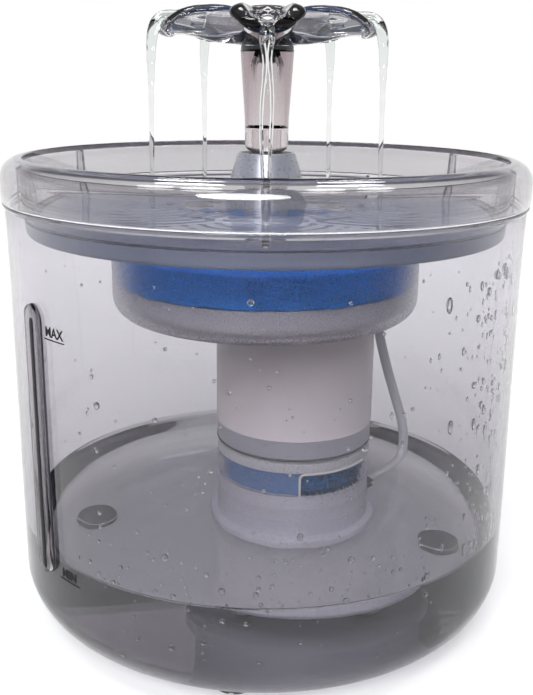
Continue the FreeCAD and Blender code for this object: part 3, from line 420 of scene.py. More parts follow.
def spread(tree, value, low_out, high_out, low_in, high_in):
    """The value's range from low_in to high_in, brought to the range from low_out to high_out."""
    made = add(tree, "MapRange", Value=value, From_Min=low_in, From_Max=high_in, To_Min=low_out,
               To_Max=high_out)
    return made.outputs["Result"]


def calculated(tree, operation, first, second):
    node = tree.nodes.new("ShaderNodeMath")
    node.operation = operation
    tree.links.new(first, node.inputs[0])
    tree.links.new(second, node.inputs[1])
    return node.outputs["Value"]


def mixed(tree, share, first, second):
    node = add(tree, "MixShader", Fac=share)
    tree.links.new(first, node.inputs[1])
    tree.links.new(second, node.inputs[2])
    return node.outputs["Shader"]


def bumped(tree, shader, height, strength, distance):
    if strength:
        bump = add(tree, "Bump", Height=height, Strength=strength, Distance=distance)
        put(shader, Normal=bump.outputs["Normal"])


def lamp_light_passes(tree, shader, tint):
    """Rays from lamps go straight through plastic and water, tinted, and not through the shader."""
    through = add(tree, "BsdfTransparent", Color=(*tint, 1))
    lamp = add(tree, "LightPath").outputs["Is Shadow Ray"]
    put(tree.nodes["Material Output"],
        Surface=mixed(tree, lamp, shader.outputs["BSDF"], through.outputs["BSDF"]))


def clear(name, left=None, depth=1.0, index=1.45, haze=0.05, bump=0.0, edge=None, wander=0.0):
    """Clear moulded plastic or water, with faint smears in its gloss. It takes up light along the
    way, so that edges and thick places are darker: after depth millimetres, left is what is left of
    it, which is the exponential of minus the uptake times the depth. Where edge is given, the light
    that comes through at a slant takes that tint: painted shade on the slanting edges, standing in for
    the dark surroundings that the edges of thick clear plastic show. Wander adds noise to the slant,
    so that those painted dark edges run in and out as blotches."""
    material, tree, shader, place = new_material(name)
    smear = noise(tree, place, 90.0, 4.0, 0.6)
    put(shader, Base_Color=(1, 1, 1, 1), Transmission_Weight=1.0, IOR=index,
        Roughness=spread(tree, smear, 0.0, haze, 0.45, 0.8))
    bumped(tree, shader, noise(tree, place, 14.0, 2.0, 0.5), bump, 0.002)
    if edge:
        # Painted shade: a dark tint on slanting faces, stirred by noise into blotches.
        stirred = spread(tree, noise(tree, place, 240.0, 2.0, 0.5), -wander, wander, 0.3, 0.7)
        slant = calculated(tree, "ADD", add(tree, "LayerWeight").outputs["Facing"], stirred)
        put(shader, Base_Color=ramp(tree, slant, [(0.5, (1, 1, 1)), (0.9, edge)]))
    if left:
        uptake = [-math.log(c) / (depth * MM) for c in left]
        volume = add(tree, "VolumeAbsorption", Density=max(uptake),
                     Color=(*[1 - u / max(uptake) for u in uptake], 1))
        put(tree.nodes["Material Output"], Volume=volume.outputs["Volume"])
    lamp_light_passes(tree, shader, (0.96, 0.96, 0.96))
    return material


def frosted(name, tint, roughness, milk, index=1.38, grain=0.1):
    """Frosted plastic: light scatters as it passes, and part of it stops at the milky surface."""
    material, tree, shader, place = new_material(name)
    cloud = noise(tree, place, 30.0, 3.0, 0.5)
    fine = noise(tree, place, 2600.0, 2.0, 0.5)
    put(shader, Transmission_Weight=1.0 - milk, IOR=index,
        Base_Color=ramp(tree, cloud, [(0.3, [c * 0.95 for c in tint]), (0.75, tint)]),
        Roughness=spread(tree, fine, roughness - 0.05, roughness + 0.06, 0.3, 0.7))
    bumped(tree, shader, fine, grain, 0.0003)
    lamp_light_passes(tree, shader, [c * 0.94 for c in tint])
    return material


def moulded(name, shade, roughness, grain=900.0, bump=0.08, metal=0.0, gloss=0.5):
    """Solid plastic, rubber or metal with a fine grain and small changes of tone."""
    material, tree, shader, place = new_material(name)
    cloud = noise(tree, place, 60.0, 4.0, 0.6)
    fine = noise(tree, place, grain, 2.0, 0.5)
    put(shader, Metallic=metal, Specular_IOR_Level=gloss,
        Base_Color=ramp(tree, cloud, [(0.3, [c * 0.84 for c in shade]), (0.7, shade)]),
        Roughness=spread(tree, fine, roughness - 0.06, roughness + 0.08, 0.3, 0.7))
    bumped(tree, shader, fine, bump, 0.0004)
    return material


def foam(name, shade):
    """Open-cell sponge at about a millimetre: painted shade darkens the pores and painted light brightens
    the struts between them.
    """
    material, tree, shader, place = new_material(name)
    pores = add(tree, "TexVoronoi", Vector=place, Scale=760.0).outputs["Distance"]
    # The colour follows the distance from each pore's middle: painted shade in the pores and painted light
    # on the struts.
    depth = calculated(tree, "ADD", pores, noise(tree, place, 120.0, 3.0, 0.6))
    pale = [min(1, c * 1.3 + 0.02) for c in shade]
    stops = [(0.4, [c * 0.6 for c in shade]), (0.75, shade), (1.0, pale)]
    put(shader, Base_Color=ramp(tree, depth, stops), Roughness=0.75)
    bumped(tree, shader, pores, 0.55, 0.0012)
    return material


def grains(name, shade, other, scale):
    """Packed beads or grains: each cell has its own tone and a rounded top."""
    material, tree, shader, place = new_material(name)
    cells = add(tree, "TexVoronoi", Vector=place, Scale=scale)
    tone = add(tree, "SeparateColor", Color=cells.outputs["Color"]).outputs["Red"]
    put(shader, Base_Color=ramp(tree, tone, [(0.1, other), (0.9, shade)]), Roughness=0.5)
    bumped(tree, shader, cells.outputs["Distance"], -0.9, 0.0015)
    return material


finishes = {}


def finish(name):
    """The finish of that name, made from the colours on its first use."""
    if name in finishes:
        return finishes[name]
    colours = bpy.context.scene.fountain_colours
    smoke, tray, spout, frost, sponge, jacket = [
        tuple(getattr(colours, key)) for key in ("smoke", "tray", "spout", "frost", "sponge", "jacket")]
    recipes = {
        "tub": (clear, "tub_plastic", smoke, TANK_WALL),
        "tray": (clear, "tray_plastic", tray, TRAY_WALL, dict(index=1.58, haze=0.0)),
        "boss": (moulded, "boss_plastic", (0.3, 0.31, 0.36), 0.3, 900.0, 0.0, 0.3, 1.0),
        "under": (frosted, "under_plastic", (0.52, 0.57, 0.68), 0.32, 0.3, dict(grain=0.0)),
        "spout": (clear, "spout_plastic", spout, 7.0, dict(haze=0.03)),
        # Edge and wander give the petals painted shade: dark outlines and dark blotches.
        "flower": (clear, "flower_plastic", (0.56, 0.55, 0.56), 7.0,
                   dict(haze=0.02, edge=(0.14, 0.14, 0.145), wander=0.22)),
        "collar": (frosted, "collar_plastic", (0.62, 0.62, 0.67), 0.32, 0.45),
        "case": (frosted, "case_plastic", (0.74, 0.73, 0.8), 0.3, 0.55),
        "frost": (frosted, "frosted_plastic", frost, 0.28, 0.0, 1.25),
        "sleeve": (frosted, "sleeve_plastic", (0.93, 0.88, 0.89), 0.36, 0.55),
        "ring": (frosted, "ring_plastic", [min(1, c * 1.04) for c in frost], 0.16, 0.04),
        "ring_top": (frosted, "ring_top_plastic", (0.72, 0.71, 0.73), 0.3, 0.55),
        "water": (clear, "water", dict(index=1.333, haze=0.0)),
        # Edge gives the streams and the wall drops painted shade on their slanting edges.
        "stream": (clear, "falling_water", (0.86, 0.89, 0.87), 3.0,
                   dict(index=1.333, haze=0.0, edge=(0.16, 0.17, 0.17))),
        # A painted highlight: pale frosted plastic on the tub's rim, for the light that its edge catches.
        "rim": (frosted, "rim_painted_highlight", (0.9, 0.9, 0.92), 0.25, 0.6, dict(grain=0.0)),
        "film": (clear, "tray_water", dict(index=1.333, haze=0.0, bump=0.1)),
        "gauge": (clear, "gauge_plastic", (0.8, 0.79, 0.8), 1.75, dict(index=1.15, haze=0.02)),
        "upper_sponge": (foam, "upper_sponge", sponge),
        # The lower sponge is the same foam as the upper, darkened to about a third as painted shade for its
        # place in the housing.
        "lower_sponge_painted_shade": (foam, "lower_sponge_painted_shade", [c * 0.36 for c in sponge]),
        "bristle": (moulded, "sponge_bristle", [c * 0.12 for c in sponge], 0.6),
        # Dark plastic for the pump and small parts, and also painted shade on the gauge's edge and the stem
        # ring.
        "dark": (moulded, "dark_plastic", (0.035, 0.035, 0.04), 0.42),
        # Grey rubber for the feet, cups, seal and gland, and also the painted shade in the collar's seam.
        "rubber": (moulded, "grey_rubber", (0.11, 0.11, 0.12), 0.62, 1400.0, 0.2),
        "white": (moulded, "white_plastic", (0.72, 0.72, 0.7), 0.4),
        "jacket": (moulded, "lead_jacket", jacket, 0.42, 1600.0, 0.1),
        "steel": (moulded, "bright_steel", (0.62, 0.62, 0.64), 0.24, 2200.0, 0.04, 1.0),
        "core": (moulded, "core_steel", (0.22, 0.22, 0.24), 0.4, 3000.0, 0.2, 1.0),
        "magnet": (moulded, "ferrite_magnet", (0.03, 0.03, 0.033), 0.5, 1200.0, 0.1, 0.3),
        "ceramic": (moulded, "bush_ceramic", (0.8, 0.78, 0.72), 0.2, 600.0, 0.02),
        "winding": (moulded, "winding_wire", (0.55, 0.2, 0.07), 0.3, 2600.0, 0.6, 0.9),
        "board": (moulded, "board_green", (0.02, 0.16, 0.06), 0.35, 900.0, 0.05),
        "felt": (moulded, "filter_felt", (0.7, 0.7, 0.66), 0.9, 1800.0, 0.6),
        "carbon": (grains, "carbon_grains", (0.02, 0.02, 0.02), (0.005, 0.005, 0.006), 520.0),
        "resin": (grains, "resin_beads", (0.6, 0.42, 0.16), (0.34, 0.2, 0.06), 620.0),
        # Black print for the level marks, and also the painted shade strip on the gauge.
        "ink": (moulded, "print_ink_and_painted_shade", (0.01, 0.01, 0.012), 0.45, 900.0, 0.02, dict(gloss=0.08)),
    }
    maker, *values = recipes[name]
    options = values.pop() if isinstance(values[-1], dict) else {}
    finishes[name] = maker(*values, **options)
    return finishes[name]


# Stage: camera, light, floor

PHOTO_HEIGHT = 695
CAMERA_AT = Vector((0.0, -335.6, 188.7)) * MM
CAMERA_PITCH = 15.66
CAMERA_YAW = 0.115
CAMERA_ROLL = 0.56
FOCAL_PIXELS = 949.4
SENSOR = 36.0
LAMPS_AIM = Vector((0, 0, 0.12))
BOUNCES = 26
FLOOR_HALF = 6000.0
CEILING_SIZE = (0.26, 0.26)
CEILING = (("ceiling_left", -134, 64, 1.2, 1.7), ("ceiling_right", -50, 64, 1.2, 1.7),
           ("ceiling_far_left", -161, 58, 1.3, 1.5), ("ceiling_far_right", -20, 58, 1.3, 1.5),
           ("ceiling_back_left", 118, 62, 1.2, 1.5), ("ceiling_back_right", 58, 62, 1.2, 1.5))


class FOUNTAIN_OT_stage(bpy.types.Operator):
    """Make the camera, the lamps, the world and the floor"""
    bl_idname = "fountain.stage"
    bl_label = "Stage"

    def execute(self, context):
        scene = context.scene
        lens = bpy.data.cameras.new("camera")
        lens.sensor_fit = "VERTICAL"
        lens.sensor_height = SENSOR
        lens.lens = FOCAL_PIXELS / PHOTO_HEIGHT * SENSOR
        lens.clip_start = 0.01
        lens.clip_end = 50.0
        camera = linked("camera", lens)
        look = (Matrix.Rotation(math.radians(-CAMERA_YAW), 4, "Z")
                @ Matrix.Rotation(math.radians(90 - CAMERA_PITCH), 4, "X")
                @ Matrix.Rotation(math.radians(CAMERA_ROLL), 4, "Z"))
        camera.matrix_world = Matrix.Translation(CAMERA_AT) @ look
        scene.camera = camera
        scene.view_settings.view_transform = "Standard"
        for kind in ("max", "transmission", "transparent_max", "glossy"):
            setattr(scene.cycles, kind + "_bounces", BOUNCES)
        for lamp in CEILING:
            self.lamp(*lamp, CEILING_SIZE)
        self.lamp("soft_front", -100, 36, 1.5, 20.5, (0.9, 0.7))
        self.world(scene)
        self.floor()
        return {"FINISHED"}

    def lamp(self, name, azimuth, rise, away, power, size):
        """An oval lamp that looks at the object: where it stands is azimuth and rise in degrees about
        the object and its distance in metres."""
        light = bpy.data.lights.new(name, "AREA")
        light.shape = "ELLIPSE"
        light.size, light.size_y = size
        light.energy = power
        lamp = linked(name, light)
        turn, up = math.radians(azimuth), math.radians(rise)
        way = Vector((math.cos(up) * math.cos(turn), math.cos(up) * math.sin(turn), math.sin(up)))
        lamp.location = way * away + LAMPS_AIM
        lamp.rotation_euler = way.to_track_quat("Z", "Y").to_euler()

    def world(self, scene):
        """White near the horizon behind the object, and darker above it and in front of it, so that
        clear edges pick up a dark line and clear walls reflect little."""
        world = bpy.data.worlds.new("studio")
        world.use_nodes = True
        scene.world = world
        tree = world.node_tree
        way = add(tree, "SeparateXYZ", Vector=add(tree, "TexCoord").outputs["Generated"])
        stops = [(0.0, (0.97, 0.97, 0.97)), (0.26, (0.92, 0.92, 0.93)), (0.42, (0.16, 0.16, 0.17)),
                 (0.72, (0.16, 0.16, 0.17)), (0.9, (0.6, 0.6, 0.62)), (1.0, (0.75, 0.75, 0.76))]
        room = put(tree.nodes["Background"], Color=ramp(tree, way.outputs["Z"], stops),
                   Strength=spread(tree, way.outputs["Y"], 0.3, 1.0, -0.6, 0.3))
        white = add(tree, "Background", Color=(1, 1, 1, 1))
        seen = add(tree, "LightPath").outputs["Is Camera Ray"]
        put(tree.nodes["World Output"],
            Surface=mixed(tree, seen, room.outputs["Background"], white.outputs["Background"]))

    def floor(self):
        """A pale floor that keeps the object's shadow and fades to white further out. Only the rays
        that show it see the white: straight ones, and those through clear or off glossy pieces. Far
        out it is white by itself, and in front it is darker, where only clear walls mirror it."""
        material, tree, shader, place = new_material("pale_floor")
        reach = tree.nodes.new("ShaderNodeVectorMath")
        reach.operation = "LENGTH"
        tree.links.new(place, reach.inputs[0])
        away = reach.outputs["Value"]
        back = add(tree, "SeparateXYZ", Vector=place).outputs["Y"]
        pale = spread(tree, noise(tree, place, 3.0, 3.0, 0.5), 0.8, 0.84, 0.3, 0.7)
        lit = spread(tree, away, 1.0, 0.0, 0.95, 1.4)
        front = spread(tree, back, 0.25, 1.0, -0.42, -0.13)
        put(shader, Roughness=0.7, Specular_IOR_Level=0.0,
            Base_Color=calculated(tree, "MULTIPLY", pale, calculated(tree, "MULTIPLY", lit, front)))
        path = add(tree, "LightPath").outputs
        bent = calculated(tree, "MAXIMUM", path["Is Glossy Ray"], path["Is Transmission Ray"])
        behind = calculated(tree, "MULTIPLY", bent, spread(tree, back, 0.1, 1.0, -0.4, 0.2))
        seen = calculated(tree, "MAXIMUM", path["Is Camera Ray"], behind)
        glow = spread(tree, away, 0.25, 1.0, 0.13, 0.6)
        white = add(tree, "Emission", Strength=calculated(tree, "MULTIPLY", seen, glow))
        both = tree.nodes.new("ShaderNodeAddShader")
        tree.links.new(shader.outputs["BSDF"], both.inputs[0])
        tree.links.new(white.outputs["Emission"], both.inputs[1])
        put(tree.nodes["Material Output"], Surface=both.outputs["Shader"])
        corners = np.array([(-1, -1, 0), (1, -1, 0), (1, 1, 0), (-1, 1, 0)])
        floor = surface("floor", corners * FLOOR_HALF, [(0, 1, 2, 3)])
        floor.data.materials.append(material)


# Lead: the points of its route in metres, as the real lead lies

GLAND_EXIT = (0.043652, 0.026537, 0.0225)
LEAD_UP = np.array([
    (51.9, 30.4, 27.6), (58.6, 33.9, 37.4), (58.9, 34.5, 49.8), (54.6, 34.0, 62.6),
    (50.2, 33.5, 76.0), (46.6, 33.8, 89.0), (44.9, 36.4, 100.6), (44.1, 40.5, 111.9),
    (43.5, 45.3, 122.8), (43.5, 51.7, 130.5), (44.0, 59.2, 135.5), (45.0, 66.8, 137.8),
    (46.6, 74.6, 137.8), (48.6, 84.4, 137.8), (50.7, 94.8, 132.2), (52.0, 101.4, 122.2),
    (52.3, 103.0, 110.3), (51.8, 100.6, 96.5), (51.1, 97.0, 82.0), (50.4, 93.7, 67.4),
    (49.9, 91.4, 52.6), (49.6, 91.0, 36.5), (49.5, 91.0, 19.7), (49.5, 94.4, 11.6),
    (49.5, 100.5, 5.4), (49.5, 108.6, 2.1),
]) * MM
LEAD_TAIL = np.array([
    (49.3, 134.6, 15.7), (47.0, 144.6, 13.6), (41.2, 152.8, 9.8), (32.6, 158.6, 6.2),
    (22.7, 161.0, 3.9), (12.7, 161.0, 3.9),
]) * MM
COIL_CENTRE = (0.0230, 0.1210)
COIL_OUT_R = 0.0265
COIL_PITCH = 0.0045
COIL_LAYERS = 4
COIL_TURNS = 2.0
COIL_POINTS = 16
ON_FLOOR = 0.0021


def coil_points():
    """Points of the lead's coil. The radius falls and rises by one pitch a turn, and the height
    climbs one pitch along half a cosine in the half turn about each place where it turns round."""
    turns = np.arange(0, COIL_LAYERS * COIL_TURNS + 1e-6, 1 / COIL_POINTS)
    layer = np.minimum(np.floor(turns / COIL_TURNS), COIL_LAYERS - 1)
    part = turns - layer * COIL_TURNS
    inward = np.where(layer % 2 == 0, part, COIL_TURNS - part)
    radius = COIL_OUT_R - COIL_PITCH * inward
    change = np.arange(1, COIL_LAYERS)[None, :] * COIL_TURNS
    phase = np.clip((turns[:, None] - change + 0.25) / 0.5, 0, 1)
    climb = ((1 - np.cos(math.pi * phase)) / 2).sum(1)
    return polar(radius, 2 * math.pi * turns, ON_FLOOR + COIL_PITCH * climb) + (*COIL_CENTRE, 0)


class FOUNTAIN_OT_lead(bpy.types.Operator):
    """Make the lead, its coil and the plug's finish"""
    bl_idname = "fountain.lead"
    bl_label = "Lead"

    def execute(self, context):
        route = np.vstack([GLAND_EXIT, LEAD_UP, coil_points(), LEAD_TAIL])
        data = bpy.data.curves.new("lead", "CURVE")
        data.dimensions = "3D"
        spline = data.splines.new("NURBS")
        spline.points.add(len(route) - 1)
        spline.points.foreach_set("co", np.column_stack([route, np.ones(len(route))]).ravel())
        spline.order_u = 3
        spline.use_endpoint_u = True
        data.resolution_u = 4
        data.bevel_depth = 0.002
        data.bevel_resolution = 5
        data.use_fill_caps = True
        lead = linked("lead", data)
        data.materials.append(finish("jacket"))
        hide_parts("cable_inner", "cable_outer", "cable_coil", "cable_tail")
        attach(lead, "tank")
        painted("jacket", "plug_relief", "plug_body")
        painted("steel", "plug_shell")
        painted("white", "plug_tongue")
        return {"FINISHED"}


# Tub

def wall_radius(z):
    """Outer radius of the tub's wall at a height, which leans out a little towards the rim."""
    return TANK_R - WALL_LEAN + WALL_LEAN * (z - TANK_LOW) / (RIM_Z - TANK_LOW)


def on_wall(piece, azimuth, z, lift=0.08):
    """Wraps a flat piece, drawn in the XY plane in millimetres, on to the tub's wall: x becomes an
    arc length, y a height, and z a distance out from the wall."""
    vertices = piece.data.vertices
    flat = np.zeros(len(vertices) * 3)
    vertices.foreach_get("co", flat)
    x, y, out = flat.reshape(-1, 3).T / MM
    wrapped = polar(wall_radius(z + y) + lift + out, math.radians(azimuth) + x / TANK_R, z + y)
    vertices.foreach_set("co", (wrapped * MM).ravel())
    return piece


def word(name, letters, size):
    """Plain capital letters as a thin mesh in the XY plane."""
    data = bpy.data.curves.new(name, "FONT")
    data.body = letters
    data.size = size * MM
    data.align_x = "CENTER"
    data.extrude = 0.03 * MM
    data.offset = 0.11 * MM
    text = linked(name, data)
    bpy.context.view_layer.update()
    graph = bpy.context.evaluated_depsgraph_get()
    mesh = bpy.data.meshes.new_from_object(text.evaluated_get(graph))
    bpy.data.objects.remove(text)
    return linked(name, mesh)


def strip(name, width, height, thick=0.06, columns=16):
    """A thin flat strip in the XY plane, with enough columns to bend round the wall."""
    x = np.linspace(-width / 2, width / 2, columns)
    rows = [(-height / 2, 0), (height / 2, 0), (height / 2, thick), (-height / 2, thick)]
    points = np.stack([np.stack([x, np.full(columns, y), np.full(columns, z)], 1) for y, z in rows], 1)
    end = (columns - 1) * 4
    faces = grid_faces(columns, 4, False)[:, ::-1].tolist()
    return surface(name, points, faces + [(3, 2, 1, 0), (end, end + 1, end + 2, end + 3)])


class FOUNTAIN_OT_tub(bpy.types.Operator):
    """Make the tub's clear shell with its gauge, level marks and feet"""
    bl_idname = "fountain.tub"
    bl_label = "Tub"

    def execute(self, context):
        foot_r = TANK_R - WALL_LEAN
        tub = lathe("tub", [
            (0, TANK_LOW), (foot_r, TANK_LOW, 19.3), (TANK_R, RIM_Z - 1.8), (TANK_R + 0.7, RIM_Z - 1.1, 0.3),
            (TANK_R + 0.7, RIM_Z, 0.5), (TANK_R - TANK_WALL, RIM_Z, 0.3),
            (foot_r - TANK_WALL, FLOOR_Z, 16.9), (0, FLOOR_Z),
        ], segments=256, steps=14)
        tall, wide, deep = 60, 6.6, 12
        notch = moved(bar("notch", tall, wide, deep), Matrix.Rotation(math.radians(90), 4, "Y"))
        shifted(notch, TANK_R - deep / 2, 0, LEAD_OVER_Z - wide / 2 + tall / 2)
        pocket = lathe("pocket", [(0, -1), (7.6, -1), (7.6, 3.25), (0, 3.25)], segments=40)
        cut(tub, [turned(notch, NOTCH_AZ)] + copies(shifted(pocket, 67, 0, 0), 4, -7.5))
        finished(tub, "tub", "tank", "tank")
        # A thin pale frosted ring on the rim: a painted highlight for the light that the rim's edge catches.
        inner, outer = TANK_R - 2.2, TANK_R + 0.5
        rim = lathe("tub_rim_painted_highlight", [(inner, RIM_Z - 0.1), (outer, RIM_Z - 0.1), (outer, RIM_Z + 0.12, 0.1),
                                (inner, RIM_Z + 0.12, 0.1)], segments=256, steps=5)
        finished(rim, "rim", "tank")
        self.gauge()
        self.marks()
        painted("rubber", "tank_feet")
        return {"FINISHED"}

    def gauge(self):
        """The raised bar that shows the level, with painted shade on it: a thin black strip along it
        and a dark rod round its edge where it meets the wall.
        """
        upright = Matrix(((0, 0, 1, 0), (0, 1, 0, 0), (-1, 0, 0, 0), (0, 0, 0, 1)))
        wall = wall_radius(GAUGE_Z)
        gauge = shifted(moved(bar("gauge", 90, 10, 1.75), upright), wall - 0.15, 0, GAUGE_Z)
        finished(turned(gauge, GAUGE_AZ), "gauge", "tank")
        # Painted shade: a thin black strip where the shade of the bar's groove falls.
        groove_shade = shifted(moved(bar("gauge_painted_shade_strip", 84, 2.4, 0.25), upright), wall + 1.45, 0.9, GAUGE_Z - 1)
        finished(turned(groove_shade, GAUGE_AZ), "ink", "tank")
        # Painted shade: a dark rod round the bar's edge, in the crease where it meets the wall.
        bend = np.linspace(0, math.pi, 24)
        end = np.stack([0 * bend, 4.95 * np.cos(bend), 40 + 4.95 * np.sin(bend)], 1)
        loop = np.vstack([end, -end, end[:1]]) + [wall + 0.3, 0, GAUGE_Z]
        finished(turned(sweep("gauge_edge_painted_shade", loop, 0.22, 8), GAUGE_AZ), "dark", "tank")

    def marks(self):
        """The words MAX and MIN, each with a line under it."""
        for letters, azimuth, z in (("MAX", -134.8, 113.6), ("MIN", -134.0, 34.0)):
            piece = word(letters.lower() + "_word", letters, 4.3)
            finished(on_wall(piece, azimuth, z + 0.9), "ink", "tank")
            line = strip(letters.lower() + "_line", 10.4, 0.4)
            finished(on_wall(line, azimuth, z), "ink", "tank")


# Tray

class FOUNTAIN_OT_tray(bpy.types.Operator):
    """Make the drinking tray with its rolled lip, boss and drain slots"""
    bl_idname = "fountain.tray"
    bl_label = "Drinking tray"

    def execute(self, context):
        rise = TRAY_Z + TRAY_RISE
        under = TRAY_Z - TRAY_WALL
        foot = under - 1.9
        shoulder = MOUTH_Z - 7.5
        ledge = MOUTH_Z - 3.9
        tray = lathe("tray", [
            (88.1, LID_LOW), (90.0, LID_LOW, 0.4), (90.0, CREST_Z, 6.6), (82.6, CREST_Z, 0.6),
            (80.8, TRAY_Z, 3.0), (15.2, rise), (15.2, rise - TRAY_WALL), (78.0, under + 0.12, 0.4),
            (79.2, foot, 0.7), (82.3, foot, 1.6), (82.75, TRAY_Z + 3.0),
            (82.6 + TRAY_WALL, CREST_Z - TRAY_WALL, 0.4), (88.1, CREST_Z - TRAY_WALL, 6.6 - TRAY_WALL),
        ], segments=256, steps=9)
        cut(tray, copies(shifted(bar("slot", 8, 2.6, 8), 23, 0, rise - 5), 10, 18.0))
        finished(tray, "tray", "lid", "drinking_tray")
        boss = lathe("tray_boss", [
            (15.6, rise + 0.05), (14.8, rise + 0.05, 0.6), (12.2, shoulder, 4.0), (9.9, MOUTH_Z, 0.5),
            (8.8, MOUTH_Z), (8.8, ledge), (7.2, ledge), (7.2, ledge - 1.1),
            (12.2 - TRAY_WALL, shoulder - TRAY_WALL, 2.0), (14.8 - TRAY_WALL, rise - TRAY_WALL - 0.05, 1.0),
            (15.6, rise - TRAY_WALL - 0.05),
        ])
        finished(boss, "boss", "lid")
        lining = lathe("tray_skin", [
            (28.5, rise - TRAY_WALL - 0.4), (77.5, under + 0.14), (78.9, foot - 0.05, 0.7),
            (82.4, foot - 0.05, 1.6), (82.9, TRAY_Z + 1.0), (83.0, TRAY_Z + 1.0), (82.6, foot - 0.25, 1.8),
            (78.7, foot - 0.25, 0.9), (77.3, under - 0.08), (28.5, rise - TRAY_WALL - 0.62),
        ], segments=256)
        finished(lining, "under", "lid")
        rib_low = LID_LOW - 4.5
        outline = np.array([(82.9, rib_low + 2), (84.9, rib_low), (86.4, rib_low + 1.5),
                            (86.4, CREST_Z - 2.2), (84.2, CREST_Z - 2.2)])
        sides = [np.insert(outline, 1, y, 1) for y in (-1.0, 1.0)]
        edges = [(k, k + 5, (k + 1) % 5 + 5, (k + 1) % 5) for k in range(5)]
        rib = surface("rib", sides, [(0, 1, 2, 3, 4), (9, 8, 7, 6, 5)] + edges)
        ribs = joined("tray_ribs", copies(rib, 6, 30.0))
        finished(ribs, "tray", "lid")
        painted("dark", "spout_seat_ring")
        return {"FINISHED"}


# Filter

class FOUNTAIN_OT_filter(bpy.types.Operator):
    """Make the filter cup with its sleeve, the cartridge and the sponge"""
    bl_idname = "fountain.filter_parts"
    bl_label = "Filter"

    def execute(self, context):
        dressed("filter_cup", "frost")
        dressed("cup_sleeve", "sleeve")
        self.sponge()
        painted("white", "filter_case")
        painted("felt", "filter_felt")
        painted("carbon", "carbon_layer")
        painted("resin", "resin_layer")
        return {"FINISHED"}

    def sponge(self):
        """A ring of foam whose skin is moved in and out by about a quarter of a millimetre."""
        hole, edge = 8.7, 52.2
        rows, columns = 300, 90
        along = np.linspace(0, 4, columns, endpoint=False)
        low_z = SPONGE_LOW + 0.3
        r = np.interp(along, range(5), (hole, edge, edge, hole, hole))
        z = np.interp(along, range(5), (low_z, low_z, SPONGE_HIGH, SPONGE_HIGH, low_z))
        draw = np.random.default_rng(5)
        rough = draw.normal(0, 0.22, (rows, columns))
        rough = (rough + np.roll(rough, 1, 0) + np.roll(rough, 1, 1)) / 1.6
        angle = np.linspace(0, 2 * math.pi, rows, endpoint=False)[:, None]
        r = np.minimum(r[None] + rough, edge + 0.2)
        z = np.clip(z[None] + np.roll(rough, 7, 0) * 0.9, SPONGE_LOW, SPONGE_HIGH)
        ring = skin("sponge", polar(r, angle, z), True, False, 70)
        finished(ring, "upper_sponge", "filter_pack", "sponge_disc")


# Column over the pump

